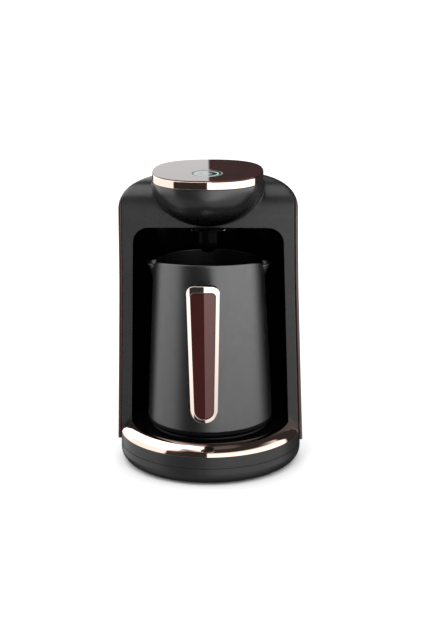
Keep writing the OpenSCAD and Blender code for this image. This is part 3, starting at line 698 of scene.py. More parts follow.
def build_frame():
    s_end = front_line_at_y(SPLIT_Y)
    foot = SKIRT_Z + 0.1
    # seam corner: where the sheet on the seam line has fallen to the crown line
    zt = CROWN_Z + 0.15

    def height(x, s):
        return float(crown(np.array([[x, s]]))[0, 2])
    xs = float(seam_x(215.0))
    lo, hi = 220.0, 250.0
    for _ in range(40):
        mid = 0.5 * (lo + hi)
        if height(xs, mid) < zt:
            lo = mid
        else:
            hi = mid
    s_corner = hi
    edge = []
    for s in np.linspace(s_corner, s_end, 90):
        a, b = 30.0, 76.0
        for _ in range(40):
            mid = 0.5 * (a + b)
            if height(mid, s) > zt:
                a = mid
            else:
                b = mid
        edge.append((a, s))
    edge = np.array(edge)
    r = 13.0
    zz = np.linspace(foot, s_corner, 90)
    runs = [np.array([[open_x(foot), foot], [float(seam_x(foot)), foot]]), np.stack([seam_x(zz), zz], 1), edge,
            np.array([[edge[-1, 0], s_end], [0.0, s_end]])]
    outer_r = dedupe(np.concatenate([resample(q, 1.8) for q in runs]))
    # the opening, from the top's middle to the right foot, then reversed
    zc = 203.8 - r
    arc = [(62.6 - r + r * math.sin(a), zc + r * math.cos(a)) for a in np.linspace(0, math.pi / 2, 16)]
    inner_r = dedupe(np.vstack([resample(np.array([[0.0, 203.8], arc[0]]), 1.8), np.array(arc), resample(np.array([arc[-1], (open_x(foot), foot)]), 1.8)]))
    half = dedupe(np.vstack([inner_r, outer_r]))            # top middle of the opening, down, out, up, over to the middle of the rear edge
    left = half[::-1].copy()
    left[:, 0] *= -1
    loop = dedupe(np.vstack([half, left]), closed=True)
    # the bowl's seat
    ss = 203.0 + (s_end - 203.0) * (1 - np.cos(np.linspace(0, math.pi, 700))) / 2
    y, z = front_line(ss)
    a, c = BOWL_A + 0.4, BOWL_C + 0.4
    q = 1 - ((y - HEAD_Y) / a) ** 2 - ((z - TOP_Z) / c) ** 2
    ok = q > 0
    x = a * np.sqrt(np.where(ok, q, 0))
    seat = np.stack([x[ok], ss[ok]], 1)
    seat = resample(np.vstack([[0, seat[0, 1] - 0.02], seat, [0, seat[-1, 1] + 0.02]]), 1.6)
    hole = dedupe(np.vstack([seat, (seat[::-1] * [-1, 1])]), closed=True)
    # inner points
    gx = np.arange(-75, 75.1, 3.0)
    g = [(xx, v) for v in list(np.arange(28, 200, 5.0)) + list(np.arange(201, 285, 1.7)) for xx in gx]
    g += [(sx * v, w) for sx in (-1, 1) for v in np.arange(54.5, 75, 3.0) for w in np.arange(213, 285, 1.7)]
    g = np.array(g)
    g = g[inside(loop, g) & ~inside(hole, g)]
    g = g[~near(loop, g, 1.7) & ~near(hole, g, 1.5)]
    key = np.round(g, 3)
    g = key[np.unique(key, axis=0, return_index=True)[1]]
    V, F, N = sheet_shell(crown, [(loop, False, 0.4), (hole, True, 0.5)], g, WALL)
    piece("front_frame_shell", V, F, "machine", "frame_black", ["front_frame"], normals=N)


def dedupe(p, closed=False, tol=0.02):
    keep = [0]
    for i in range(1, len(p)):
        if np.linalg.norm(p[i] - p[keep[-1]]) > tol:
            keep.append(i)
    if closed and np.linalg.norm(p[keep[-1]] - p[keep[0]]) <= tol:
        keep.pop()
    return p[keep]


def front_line_at_y(y):
    lo, hi = 200.0, 330.0
    for _ in range(50):
        mid = 0.5 * (lo + hi)
        if float(front_line(mid)[0]) < y:
            lo = mid
        else:
            hi = mid
    return hi


def panel_plan(z, n_strip=4, n_corner=6, n_flank=26):
    """The side panel's outer line at height z: strip, rounded corner and flank, right side."""
    inset = 0.0
    if z > 220.0:
        inset = SHOULDER_R - math.sqrt(SHOULDER_R ** 2 - (z - 220.0) ** 2)
    w = float(side_x(z)) - inset
    f = math.asin(max(0.0, min(1.0, (z - (TOP_Z - FRONT_R)) / FRONT_R)))
    yf = FRONT_Y + FRONT_R * (1 - math.cos(f)) + 0.9 / max(0.55, math.cos(f))
    x0 = float(seam_x(z)) + 0.35
    cx, cy = w - FLANK_R, FLANK_Y
    rc = 1.3
    # centre of the corner arc: rc behind the strip and rc inside the flank
    oy = yf + rc
    ox = cx + math.sqrt((FLANK_R - rc) ** 2 - (oy - cy) ** 2)
    ang0 = -math.pi / 2
    ang1 = math.atan2(oy - cy, ox - cx)
    pts = []
    x1 = max(ox, x0 + 0.15)
    for k in range(n_strip):
        pts.append((x0 + (x1 - x0) * k / n_strip, yf))
    for k in range(n_corner + 1):
        a = ang0 + (ang1 - ang0) * k / n_corner
        pts.append((max(ox + rc * math.cos(a), x0 + 0.15), oy + rc * math.sin(a)))
    y_end = SPLIT_Y - 0.1
    b0, b1 = ang1, math.asin((y_end - cy) / FLANK_R)
    for k in range(1, n_flank + 1):
        a = b0 + (b1 - b0) * k / n_flank
        pts.append((cx + FLANK_R * math.cos(a), cy + FLANK_R * math.sin(a)))
    return np.array(pts)


def build_panel(sign):
    top, step_z, foot = CROWN_Z - 0.3, SKIRT_Z, 18.3
    zs = [foot, foot + 0.15, foot + 0.5, foot + 1.2] + list(np.arange(20.5, step_z - 0.5, 2.0)) + [step_z]
    zs += list(np.arange(31.0, 205.0, 6.0)) + list(np.arange(207.0, top - 1.0, 1.5)) + [top - 0.9, top - 0.45, top - 0.2, top - 0.06, top]
    zs = np.array(zs)
    rows = [panel_plan(z) for z in zs]
    n = len(rows[0])
    O = np.stack([np.column_stack([r, np.full(n, z)]) for r, z in zip(rows, zs)])      # rows x cols x 3
    # normals by differences
    du = np.gradient(O, axis=1)
    dv = np.gradient(O, axis=0)
    nn = np.cross(du, dv)
    nn /= np.linalg.norm(nn, axis=2)[..., None] + 1e-12
    d_top = dip(top - zs, 0.6)[:, None]
    e_seam = np.concatenate([[0], np.cumsum(np.linalg.norm(np.diff(O[10, :, :2], axis=0), axis=1))])
    d_seam = dip(e_seam, 0.6)[None, :]
    outer = O - nn * (d_top + d_seam)[..., None]
    d_foot = dip(zs - foot, 0.5)[:, None]
    outer = outer - nn * d_foot[..., None]
    inner = O - nn * 2.2
    i0 = int(np.where(zs == step_z)[0][0])
    cut = [k for k in range(n) if rows[i0][k][1] <= 8.0][-1]
    m = len(zs)
    verts = list(outer.reshape(-1, 3)) + list(inner.reshape(-1, 3))
    A = lambda i, k: i * n + k
    B = lambda i, k: m * n + i * n + k
    F = []
    for i in range(m - 1):
        for k in range(n - 1):
            if i < i0 and k >= cut:
                continue
            F.append((A(i, k), A(i, k + 1), A(i + 1, k + 1), A(i + 1, k)))
            if i >= i0:
                F.append((B(i, k + 1), B(i, k), B(i + 1, k), B(i + 1, k + 1)))
    for i in range(i0, m - 1):
        F.append((B(i, 0), A(i, 0), A(i + 1, 0), B(i + 1, 0)))
        F.append((A(i, n - 1), B(i, n - 1), B(i + 1, n - 1), A(i + 1, n - 1)))
    for k in range(n - 1):
        F.append((A(m - 1, k), A(m - 1, k + 1), B(m - 1, k + 1), B(m - 1, k)))
        if k >= cut:
            F.append((A(i0, k + 1), A(i0, k), B(i0, k), B(i0, k + 1)))
    # foot: its inner side follows the round base
    base = len(verts)
    for i in range(i0 + 1):
        for k in range(cut + 1):
            p = outer[i, k]
            r = math.hypot(p[0], p[1])
            q = p.copy()
            if r > BASE_R + 0.32:
                q[:2] *= (BASE_R + 0.32) / r
            verts.append(q)
    C = lambda i, k: base + i * (cut + 1) + k
    for i in range(i0):
        for k in range(cut):
            F.append((C(i, k + 1), C(i, k), C(i + 1, k), C(i + 1, k + 1)))
        F.append((C(i, 0), A(i, 0), A(i + 1, 0), C(i + 1, 0)))
        F.append((A(i, cut), C(i, cut), C(i + 1, cut), A(i + 1, cut)))
    for k in range(cut):
        F.append((C(0, k), C(0, k + 1), A(0, k + 1), A(0, k)))
        F.append((C(i0, k + 1), C(i0, k), B(i0, k), B(i0, k + 1)))
    F.append((C(i0, 0), A(i0, 0), B(i0, 0)))
    F.append((A(i0, cut), C(i0, cut), B(i0, cut)))
    V = np.array(verts)
    V[:, 0] *= sign
    name = "side_panel_right" if sign > 0 else "side_panel_left"
    piece(name + "_shell", V, F, "machine", "panel_brown", [name], weld=0.002, angle=50)


# ------------------------------------------------------------------ base
def build_base():
    R = BASE_R
    z0, z1 = SEAM_Z - 0.2, SKIRT_Z
    line = rounded([(R - 2.8, z0, 0.2), (R, z0, 0.45), (R, z1 - 0.05, 0.35), (70.6, z1 - 0.05, 0.2), (70.6, z1 - 2.4, 0.2), (R - 4.6, z1 - 2.4, 0.2),
                    (R - 4.6, z0 - 2.8, 0.2), (R - 2.8, z0 - 2.8, 0.2)], closed=True, step=18)
    v, f = lathe(spread(line, 3.0), 240, closed=True)
    piece("base_skirt_ring", v, f, "machine", "base_black", ["base_skirt"])
    # trim ring, cut off behind the housing's front face
    z = RING_Z
    prof = [(R, SKIRT_Z + 0.02, 0.25), (R, SKIRT_Z + 0.9, 2.0), (R - 1.3, z - 5.3, 5.0), (R - 3.6, z - 2.9, 6.0), (R - 6.3, z - 1.1, 8.0),
            (R - 8.9, z - 0.15, 6.0), (R - 10.6, z, 0.5), (R - 10.6, z - 3.6, 0.3), (R - 7.4, z - 4.0, 0.3), (R - 5.0, z - 6.0, 0.3), (R - 3.4, SKIRT_Z + 0.02, 0.3)]
    line = rounded(prof, closed=True, step=7)
    v, f = lathe(line, 360, closed=True)
    bm = bmesh.new()
    vs = [bm.verts.new(p) for p in v]
    for q in f:
        bm.faces.new([vs[i] for i in q])
    cut_y = FRONT_Y - 0.35
    bmesh.ops.bisect_plane(bm, geom=bm.verts[:] + bm.edges[:] + bm.faces[:], plane_co=(0, cut_y, 0), plane_no=(0, 1, 0), clear_outer=True)
    bmesh.ops.holes_fill(bm, edges=[e for e in bm.edges if e.is_boundary], sides=0)
    bm.verts.index_update()
    v = [tuple(q.co) for q in bm.verts]
    f = [tuple(w.index for w in q.verts) for q in bm.faces]
    bm.free()
    piece("trim_ring_copper", v, f, "machine", "copper", ["trim_ring"])
    # hot plate with shallow turned rings
    rp = 49.8
    top = [(5.5, z - 0.35), (5.9, z)]
    for k in range(1, 11):
        r = 8.0 + k * 3.9
        top += [(r - 0.5, z), (r - 0.22, z - 0.16), (r + 0.22, z - 0.16), (r + 0.5, z)]
    line = [np.array(p) for p in top]
    line += list(rounded([(48.4, z), (rp, z, 1.1), (rp, 29.0, 0.2), (52.5, 29.0, 0.2), (52.5, 27.4, 0.2), (47.0, 27.4, 0.2), (47.0, 30.0, 0.2), (5.5, 30.0, 0.2), (5.5, z - 0.35)]))[:-1]
    v, f = lathe(spread(np.array(line), 2.5), 180, (0.0, POT_Y), closed=True)
    piece("hot_plate_disc", v, f, "machine", "plate_metal", ["hot_plate"])
    # rubber feet with a moulded groove
    parts = []
    for a in (50, 130, 230, 310):
        c = (57 * math.cos(math.radians(a)), 57 * math.sin(math.radians(a)))
        line = rounded([(0, 0.35), (2.6, 0.35), (3.4, 0.0, 0.2), (5.6, 0.0, 0.4), (6.5, 1.0, 0.3), (6.5, 2.1, 0.2), (0, 2.1)], step=20)
        parts.append(lathe(line, 48, c))
    v, f = join(*parts)
    piece("rubber_feet_moulded", v, f, "machine", "rubber_black", ["rubber_feet"])


# ------------------------------------------------------------------ head
def super_ring(o, n=180, a=None, b=None, e=2.45):
    a = (HEAD_W if a is None else a) - o
    b = (HEAD_D if b is None else b) - o
    t = np.linspace(0, 2 * math.pi, n, endpoint=False)
    c, s = np.cos(t), np.sin(t)
    r = (np.abs(c / a) ** e + np.abs(s / b) ** e) ** (-1.0 / e)
    return np.stack([r * c, r * s], 1)


def at_z(xy, z, cy=HEAD_Y):
    return np.column_stack([xy[:, 0], xy[:, 1] + cy, np.full(len(xy), z)])


def edge_profile(z0, z1, r0, r1, step=15):
    """(inset, z) up the side of a slab with rounded lower and upper edges."""
    out = []
    for a in np.arange(0, 90.1, step):
        out.append((r0 * (1 - math.sin(math.radians(a))), z0 + r0 * (1 - math.cos(math.radians(a)))))
    for a in np.arange(0, 90.1, step):
        out.append((r1 * (1 - math.cos(math.radians(a))), z1 - r1 * (1 - math.sin(math.radians(a)))))
    return out


def build_head():
    n = 192
    # bowl: ellipsoid, then a neck that turns into the band's rounded square
    th = np.linspace(0, 2 * math.pi, n, endpoint=False)
    rings = []
    deep = 0.957                                # the bowl is a little flatter front to back
    around = np.stack([np.cos(th), deep * np.sin(th)], 1)
    neck = super_ring(0.4, n)
    for k in np.linspace(90, 9, 44):
        r = BOWL_A * math.cos(math.radians(k))
        if k == 90:
            r = 0.4
        rings.append((TOP_Z - BOWL_C * math.sin(math.radians(k)), r))
    rings += [(z, BOWL_A * math.sqrt(1 - (min(z - TOP_Z, 0) / BOWL_C) ** 2)) for z in np.arange(TOP_Z - 4.8, TOP_Z + 3.71, 0.7)]
    shape = []
    for z, r in rings:
        front = np.clip(-np.sin(th), 0, 1)
        z0 = TOP_Z + 1.0 - 17.0 * front * front * (3 - 2 * front) - 1.5 * np.clip(np.sin(th), 0, 1)
        w = np.clip((z - z0) / (TOP_Z + 3.2 - z0), 0, 1)
        w = (w * w * (3 - 2 * w))[:, None]
        shape.append(at_z(r * around * (1 - w) + neck * w, z))
    rings = shape
    rings.append(at_z(super_ring(0.6, n), TOP_Z + 3.9))
    rings.append(at_z(super_ring(3.0, n), TOP_Z + 3.9))
    rings.append(at_z(super_ring(3.2, n), TOP_Z + 3.7))
    rings.append(at_z(super_ring(3.4, n), TOP_Z - 0.2))
    for k in np.linspace(4, 88, 30):
        r = (BOWL_A - 2.2) * math.cos(math.radians(k))
        z = TOP_Z - (BOWL_C - 2.2) * math.sin(math.radians(k))
        rings.append(at_z(r * around, z))
    v, f = loft(rings, cap_lo=True, cap_hi=True)
    piece("head_bowl_shell", v, f, "machine", "frame_black", ["head_bowl"], angle=50, mat_name="bowl_black")
    # band
    rings = [at_z(super_ring(o, n), z) for o, z in edge_profile(TOP_Z + 4.05, GLASS_Z - 0.85, 0.7, 0.6)]
    rings += [at_z(super_ring(2.0, n), GLASS_Z - 0.85), at_z(super_ring(2.2, n), GLASS_Z - 1.0), at_z(super_ring(2.2, n), TOP_Z + 4.25), at_z(super_ring(2.0, n), TOP_Z + 4.05)]
    v, f = loft(rings, wrap=True)
    piece("head_band_copper", v, f, "machine", "copper", ["head_band"], angle=50)
    # glass with a rounded edge and the key's hole
    kr = 12.0
    out = [(o + 0.7, z) for o, z in edge_profile(GLASS_Z - 0.7, GLASS_Z, 0.2, 0.45)]
    rings = [at_z(super_ring(2.4, n), GLASS_Z - 2.3), at_z(super_ring(2.4, n), GLASS_Z - 0.72), at_z(super_ring(1.0, n), GLASS_Z - 0.7)]
    rings += [at_z(super_ring(o, n), z) for o, z in out]
    edge = super_ring(1.15, n) + [0, HEAD_Y]
    c = np.array([0.0, KEY_Y])
    d = edge - c
    ang = np.arctan2(d[:, 1], d[:, 0])
    hole = c + kr * np.stack([np.cos(ang), np.sin(ang)], 1)
    hole_in = c + (kr + 0.3) * np.stack([np.cos(ang), np.sin(ang)], 1)
    for w in (0.12, 0.3, 0.5, 0.7, 0.88):
        rings.append(np.column_stack([edge * (1 - w) + hole_in * w, np.full(n, GLASS_Z)]))
    rings.append(np.column_stack([hole_in, np.full(n, GLASS_Z)]))
    rings.append(np.column_stack([hole * 0.7 + hole_in * 0.3, np.full(n, GLASS_Z - 0.1)]))
    rings.append(np.column_stack([hole, np.full(n, GLASS_Z - 0.3)]))
    rings.append(np.column_stack([hole, np.full(n, GLASS_Z - 2.3)]))
    v, f = loft(rings, wrap=True)
    piece("touch_panel_glass", v, f, "machine", "glass_brown", ["touch_panel"], angle=40)
    # key cap, flat on top, with its stem
    z1 = GLASS_Z - 0.1
    line = [(0.0, z1), (2.5, z1), (5.0, z1), (7.5, z1), (9.5, z1), (10.6, z1)]
    line += [tuple(p) for p in rounded([(10.6, z1), (11.7, z1, 0.18), (11.7, z1 - 2.5, 0.3), (5.0, z1 - 2.5, 0.2), (5.0, 240.0, 0.3), (3.4, 240.0, 0.2), (3.4, 245.0, 0.2), (0.0, 245.0)])[1:]]
    v, f = lathe(np.array(line), 128, (0.0, KEY_Y))
    piece("brew_key_cap", v, f, "brew_key", "key_brown", ["brew_key"])
    build_icon(z1)
    # sensor dome
    z = 203.8
    line = [(0.0, 192.3 - 10.2)] + [(10.2 * math.sin(math.radians(a)), 192.3 - 10.2 * math.cos(math.radians(a))) for a in np.arange(24.2, 90.1, 5)]
    line += [tuple(p) for p in rounded([(10.2, 192.4), (10.2, z - 1.8, 0.8), (14.8, z - 1.8, 0.5), (14.8, z, 0.2), (8.4, z, 0.2), (8.4, 192.3)])]
    line += [(8.4 * math.sin(math.radians(a)), 192.3 - 8.4 * math.cos(math.radians(a))) for a in np.arange(85, 24, -6)]
    line[0] = (4.15, 192.3 - math.sqrt(10.2 ** 2 - 4.15 ** 2))
    v, f = lathe(np.array(line), 96, (0.0, HEAD_Y - 0.3), closed=True)
    bowl_seam_highlight()
    piece("sensor_dome_shell", v, f, "machine", "cavity_black", ["sensor_dome"], mat_name="dome_black")


def bowl_seam_highlight():
    """A thin bright bead in the seam between the bowl and the frame's front: a painted highlight, a grey thing standing
    in for the light caught on the seam's rounded edge.
    """
    a, c = BOWL_A + 0.28, BOWL_C + 0.28
    ss = 203.6 + (252.0 - 203.6) * (1 - np.cos(np.linspace(0, math.pi, 400))) / 2
    y, z = front_line(ss)
    q = 1 - ((y - HEAD_Y) / a) ** 2 - ((z - TOP_Z) / c) ** 2
    ok = q > 0
    line = resample(np.column_stack([a * np.sqrt(q[ok]), y[ok] - 0.1, z[ok]]), 1.2)
    line = line[1:-1]
    for side, name in ((1, "bowl_seam_highlight_right"), (-1, "bowl_seam_highlight_left")):
        p = line * [side, 1, 1]
        t = np.gradient(p, axis=0)
        t /= np.linalg.norm(t, axis=1)[:, None]
        u = np.cross(t, [0.0, 1.0, 0.0])
        u /= np.linalg.norm(u, axis=1)[:, None]
        w = np.cross(t, u)
        rings = []
        m = len(p)
        for i in range(m):
            r = 0.26 * min(1.0, 0.15 + i / 6.0, 0.15 + (m - 1 - i) / 6.0)
            rings.append(np.array([p[i] + r * (math.cos(b) * u[i] + math.sin(b) * w[i]) for b in np.linspace(0, 2 * math.pi, 10, endpoint=False)]))
        v, f = loft(rings, cap_lo=True, cap_hi=True)
        piece(name, v, f, "machine", "frame_black", angle=80, mat_name="seam_highlight_grey")


def build_icon(z1):
    """Lit ring and a plain cup sign in the key, flush with its flat top."""
    def height(r):
        return z1 + 0.04

    def band(r0, r1, a0, a1, cx=0.0, cy=0.0, seg=72):
        full = a1 - a0 >= 359.9
        n = seg if full else seg + 1
        verts = []
        for r, dz in ((r0, -0.25), (r0, 0.0), (r1, 0.0), (r1, -0.25)):
            for k in range(n):
                a = math.radians(a0 + (a1 - a0) * k / seg)
                x, y = cx + r * math.cos(a), cy + r * math.sin(a)
                verts.append((x, y + KEY_Y - 1.4, height(math.hypot(x, y)) + dz))
        faces = []
        for i in range(4):
            p, q = i * n, ((i + 1) % 4) * n
            faces += [(p + k, p + (k + 1) % n, q + (k + 1) % n, q + k) for k in range(n if full else n - 1)]
        if not full:
            faces += [(0, n, 2 * n, 3 * n), (n - 1, 4 * n - 1, 3 * n - 1, 2 * n - 1)]
        return verts, faces

    def plate(pts):
        n = len(pts)
        verts = [(x, y + KEY_Y - 1.4, height(math.hypot(x, y))) for x, y in pts] + [(x, y + KEY_Y - 1.4, height(math.hypot(x, y)) - 0.25) for x, y in pts]
        faces = [tuple(range(n)), tuple(range(2 * n - 1, n - 1, -1))] + [(i, (i + 1) % n, n + (i + 1) % n, n + i) for i in range(n)]
        return verts, faces
    v, f = band(8.5, 9.9, 0, 360)
    piece("key_light_line", v, f, "brew_key", "light_guide", weighted=False)
    cup = [tuple(p) for p in rounded([(-3.4, 1.9, 0.3), (-3.0, -1.6, 1.4), (2.0, -1.6, 1.4), (2.4, 1.9, 0.3)], closed=True, step=20)]
    parts = [plate(cup), band(1.15, 1.75, -95, 95, 2.5, 0.35, 20), plate([(-4.4, -2.7), (3.6, -2.7), (3.6, -2.2), (-4.4, -2.2)])]
    for x in (-1.9, 0.0):
        parts.append(plate([(x - 0.25, 2.7), (x + 0.25, 2.7), (x + 0.55, 3.9), (x + 0.05, 3.9)]))
    v, f = join(*parts)
    piece("key_cup_sign", v, f, "brew_key", "light_guide", weighted=False)


# ------------------------------------------------------------------ pot
def build_pot():
    # angles denser round the spouts at 0 and 180 degrees
    k = np.arange(288) / 288.0
    t = 2 * math.pi * k
    al = t - 0.23 * np.sin(2 * t)
    ca, sa = np.cos(al), np.sin(al)

    def spout_r(z, shrink):
        cx = 42.4 + math.tan(math.radians(25)) * (z - MOUTH_Z)
        ax, ay = (9.0 - shrink) / math.cos(math.radians(25)), 9.0 - shrink
        A = ca ** 2 / ax ** 2 + sa ** 2 / ay ** 2
        B = -2 * np.abs(ca) * cx / ax ** 2
        C = cx ** 2 / ax ** 2 - 1
        D = B * B - 4 * A * C
        return np.where(D > 0, (-B + np.sqrt(np.maximum(D, 0))) / (2 * A), 0.0), D

    def radius(z, shrink=0.0):
        base = POT_R1 - POT_SLOPE * (z - 43) - shrink
        r, D = spout_r(z, shrink)
        k = 0.9
        if z < 120:
            return np.full(len(al), base)
        return 0.5 * (base + r + np.sqrt((base - r) ** 2 + k * k))
    y = sa * 46.0
    u = np.clip((-9.0 - y) / 40.0, 0, None)
    zt = MOUTH_Z + BROW_H * (np.sqrt(u + 0.004) - math.sqrt(0.004))
    t_wall = 1.3
    rings = []

    def ring(z, r):
        return np.column_stack([r * ca, POT_Y + r * sa, np.broadcast_to(z, r.shape)])

    def ring_at(frac, z_low, shrink):
        z = z_low + (zt - z_low) * frac
        r = np.array([radius(float(q), shrink)[i] for i, q in enumerate(z)])
        return np.column_stack([r * ca, POT_Y + r * sa, z])
    one = np.ones(len(al))
    # outside, from the bottom's middle to the rim
    rings.append(ring(36.2, one * 1.0))
    rings.append(ring(36.2, one * 30.0))
    for r, z in ((POT_R1 - 5.6, 36.2), (POT_R1 - 4.2, 36.5), (POT_R1 - 3.0, 37.4), (POT_R1 - 2.75, 38.0), (POT_R1 - 2.7, 39.9), (POT_R1 - 2.3, 40.12), (POT_R1 - 0.7, 40.12), (POT_R1 - 0.25, 40.25), (POT_R1 - 0.05, 40.6), (POT_R1, 41.3)):
        rings.append(ring(z, one * r))
    for z in np.arange(50, 122, 9.0):
        rings.append(ring(z, radius(z)))
    fr = list(np.linspace(0, 0.45, 5)) + list(np.linspace(0.5, 0.97, 22))
    for q in fr:
        rings.append(ring_at(q, 128.0, 0.0))
    # rolled rim
    top_o = ring_at(1.0, 128.0, 0.0)
    top_i = ring_at(1.0, 128.0, t_wall)
    mid = 0.5 * (top_o + top_i)
    for a in range(0, 181, 30):
        c, s = math.cos(math.radians(a)), math.sin(math.radians(a))
        p = mid + (top_o - mid) * c
        p[:, 2] = zt - t_wall / 2 + s * t_wall / 2
        rings.append(p)
    for q in reversed(fr):
        rings.append(ring_at(q, 128.0, t_wall))
    for z in np.arange(122, 46, -9.0):
        rings.append(ring(z, radius(z, t_wall)))
    for r, z in ((POT_R1 - 3.9, 43.0), (POT_R1 - 4.1, 40.2), (POT_R1 - 4.8, 38.6), (POT_R1 - 6.2, 37.7), (POT_R1 - 8.0, 37.6)):
        rings.append(ring(z, one * r))
    rings.append(ring(37.6, one * 30.0))
    rings.append(ring(37.6, one * 1.0))
    v, f = loft(rings, cap_lo=True, cap_hi=True)
    piece("pot_body_shell", v, f, "pot", "pot_metal", ["pot_body"], angle=50)
    # foot ring
    R = POT_R1
    line = rounded([(R - 4.7, 35.0, 0.2), (R - 3.2, 35.0, 0.5), (R - 1.6, 35.9, 0.8), (R - 0.4, 37.6, 0.8), (R - 0.2, 39.95, 0.35), (R - 2.5, 39.95, 0.2), (R - 2.5, 37.5, 0.4), (R - 4.6, 36.1, 0.2)], closed=True, step=15)
    v, f = lathe(line, 192, (0.0, POT_Y), closed=True)
    piece("pot_foot_ring_moulded", v, f, "pot", "handle_black", ["pot_foot_ring"], mat_name="foot_black")


def grip_ring(o, ot=0.0, ob=0.0, n_top=14, n_bot=26):
    """The grip's outline, inset by o: two small top corners and a round foot, with the same points for every inset."""
    w = 26.5 / 2 - 6.5
    r1, r2 = max(6.5 - o, 1.5), 10.4 - o
    c1 = np.array([w, 177.2 - 6.5 - ot])
    c2 = np.array([0.6, 73.6 + ob])
    d = c1 - c2
    L = np.linalg.norm(d)
    base = math.atan2(d[1], d[0])
    # common tangent on the right: normal angle
    phi = base - math.acos((r2 - r1) / L)
    pts = []
    for a in np.linspace(phi, math.pi / 2, n_top):
        pts.append(c1 + r1 * np.array([math.cos(a), math.sin(a)]))
    top_right = pts[::-1]                       # from the top middle down to the side
    low = []
    for a in np.linspace(phi, -math.pi / 2, n_bot):
        low.append(c2 + r2 * np.array([math.cos(a), math.sin(a)]))
    side = [top_right[-1] + (low[0] - top_right[-1]) * k / 24 for k in range(1, 24)]
    right = np.array(top_right + side + low)
    left = right[::-1] * [-1, 1]
    return np.vstack([right, left])


def at_y(xz, y):
    return np.column_stack([xz[:, 0], np.broadcast_to(y, len(xz)), xz[:, 1]])


def arch_front(v, f, y_front, y_back, flank=0.0, radius=75.0):
    """Cuts a handle part into upright strips and lays its front over a gentle arch; flank slopes the copper sides."""
    w, c2, r2 = 26.5 / 2 - 6.5, np.array([0.6, 73.8]), 10.4 - 2.75
    c1, r1 = np.array([w, 177.2 - 6.5 - 2.3]), 6.5 - 2.75
    d = c1 - c2
    phi = math.atan2(d[1], d[0]) - math.acos((r2 - r1) / np.linalg.norm(d))
    nx, nz = math.cos(phi), math.sin(phi)
    k = nx * c2[0] + nz * c2[1] + r2
    bm = bmesh.new()
    vs = [bm.verts.new(tuple(map(float, q))) for q in v]
    for q in f:
        bm.faces.new([vs[i] for i in q])
    planes = [((x, 0, 0), (1, 0, 0)) for x in np.arange(-12.0, 12.1, 1.5)]
    if flank:
        planes += [((s * nx * k, 0, nz * k), (s * nx, 0, nz)) for s in (-1, 1)]
    for co, no in planes:
        bmesh.ops.bisect_plane(bm, geom=bm.verts[:] + bm.edges[:] + bm.faces[:], dist=0.0005, plane_co=co, plane_no=no)
    for q in bm.verts:
        t = min(max((y_back - q.co.y) / (y_back - y_front), 0.0), 1.0)
        g = q.co.x ** 2 / (2 * radius)
        if flank:
            g += max(0.0, nx * abs(q.co.x) + nz * q.co.z - k) * math.tan(math.radians(flank))
        q.co.y += g * t
    bm.verts.index_update()
    v = [tuple(q.co) for q in bm.verts]
    f = [tuple(w.index for w in q.verts) for q in bm.faces]
    bm.free()
    return v, f


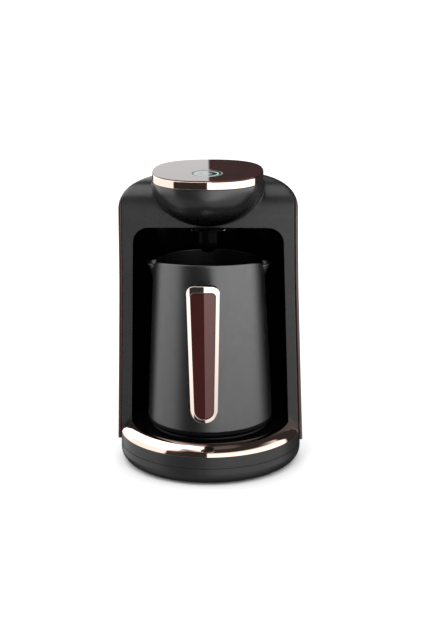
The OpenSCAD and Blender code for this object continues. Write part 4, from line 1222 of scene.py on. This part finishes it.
def build_handle():
    # trim: a copper frame with softened edges, lying on the core
    f0, y1 = -98.4, -93.5
    rings = []
    for a in np.arange(0, 90.1, 9):
        c, s = math.cos(math.radians(a)), math.sin(math.radians(a))
        rings.append(at_y(grip_ring(0.5 * (1 - c)), f0 + 0.5 * (1 - s)))
    rings = [at_y(grip_ring(0.25), y1), at_y(grip_ring(0.0), y1 - 0.25)] + rings
    inner = lambda o: grip_ring(3.0 - o, 2.5 * (3.0 - o) / 3.0, 0.2 * (3.0 - o) / 3.0)
    for a in np.arange(90, -0.1, -9):
        c, s = math.cos(math.radians(a)), math.sin(math.radians(a))
        rings.append(at_y(inner(0.35 * (1 - c)), f0 + 0.35 * (1 - s)))
    rings.append(at_y(inner(0.0), y1))
    v, f = loft(rings, wrap=True)
    v, f = arch_front(v, f, f0, y1, flank=31.0)
    piece("handle_trim_copper", v, f, "pot", "copper", ["handle_trim"], angle=11, mat_name="trim_copper")
    # insert: a thin dark inlay with a soft edge
    top = lambda o: grip_ring(3.15 + o, 2.6, 0.3)
    rings = [at_y(top(0.0), y1)]
    for a in np.arange(0, 90.1, 9):
        c, s = math.cos(math.radians(a)), math.sin(math.radians(a))
        rings.append(at_y(top(0.5 * (1 - c)), -97.8 + 0.5 * (1 - s)))
    v, f = loft(rings, cap_lo=True)
    m = len(v)
    last = list(range(m - len(rings[0]), m))
    n = len(last)
    f = list(f)
    for i in range(n // 2 - 1):
        f.append((last[i], last[i + 1], last[n - 2 - i], last[n - 1 - i]))
    v, f = arch_front(v, f, -97.8, y1)
    piece("handle_insert_inlay", v, f, "pot", "panel_brown", ["handle_insert"], angle=20, mat_name="inlay_brown")
    # core: a moulded back with round edges and the arm to the bracket
    rings = []
    core = lambda o: grip_ring(0.8 + o, 2.6, 0.0)
    rings.append(at_y(core(0.0), -93.4))
    for a in np.arange(0, 90.1, 15):
        c, s = math.cos(math.radians(a)), math.sin(math.radians(a))
        rings.append(at_y(core(1.8 * (1 - c)), -88.0 - 1.8 * (1 - s)))
    v1, f1 = loft(rings, cap_lo=True)
    last = list(range(len(v1) - len(rings[0]), len(v1)))
    n = len(last)
    f1 = list(f1) + [(last[i], last[i + 1], last[n - 2 - i], last[n - 1 - i]) for i in range(n // 2 - 1)]
    # arm, a rounded box section that widens into the back
    def box_ring(y, hx, z0, z1, r):
        p = rounded([(-hx, z0, r), (hx, z0, r), (hx, z1, r), (-hx, z1, r)], closed=True, step=15)
        return at_y(p, y)
    rings = [box_ring(-90.0, 12.6, 149.2, 162.6, 2.4), box_ring(-88.0, 12.2, 149.4, 162.4, 2.4), box_ring(-86.4, 11.3, 149.9, 162.05, 2.4), box_ring(-84.5, 11.0, 150.0, 162.0, 2.4)]
    rings += [box_ring(y, 11.0, 150.0, 162.0, 2.4) for y in (-80, -75, -70, -65.5)]
    rings += [box_ring(-63.2, 10.9, 150.1, 161.9, 2.3), box_ring(-62.5, 10.5, 150.5, 161.5, 2.0), box_ring(-62.1, 9.8, 151.2, 160.8, 1.6)]
    v2, f2 = loft(rings, cap_lo=True, cap_hi=True)
    v, f = join((v1, f1), (v2, f2))
    piece("handle_core_moulded", v, f, "pot", "handle_black", ["handle_core"], angle=50)


def build_springs():
    """The two return springs: wire coils at their rest length, for the key and for the probe."""
    slots = {p["node"]: p["material_slot"] for p in frame["record"]["subparts"]}
    rows = (("key", "key_press", KEY_Y, 7.0, 0.4, 239.55, GLASS_Z - 2.65, 0.885),
            ("probe", "probe_press", POT_Y, 5.1, 0.45, 20.0, 28.25, 0.81))
    for name, joint, cy, R, r, z0, z1, keep in rows:
        n = 5 * 44
        rings = []
        pitch = (z1 - z0 - 2 * r) / (5 * 2 * math.pi)
        for i in range(n + 1):
            a = 5 * 2 * math.pi * i / n
            c, s = math.cos(a), math.sin(a)
            q = np.array([R * c, R * s + cy, z0 + r + (z1 - z0 - 2 * r) * i / n])
            t = np.array([-R * s, R * c, pitch])
            t /= np.linalg.norm(t)
            u = np.array([c, s, 0.0])
            w = np.cross(t, u)
            rings.append(np.array([q + r * (math.cos(b) * u + math.sin(b) * w) for b in np.linspace(0, 2 * math.pi, 12, endpoint=False)]))
        v, f = loft(rings, cap_lo=True, cap_hi=True)
        ob = piece(name + "_spring_wire", v, f, "machine", slots[name + "_spring"], [name + "_spring"], angle=60, weighted=False)
        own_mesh(ob)


def build_pieces():
    build_springs()
    build_base()
    build_frame()
    build_panel(1)
    build_panel(-1)
    build_head()
    build_pot()
    build_handle()


# ------------------------------------------------------------------ run
make_camera()
make_light()
make_materials()
make_floor()
dress_cad()
build_pieces()
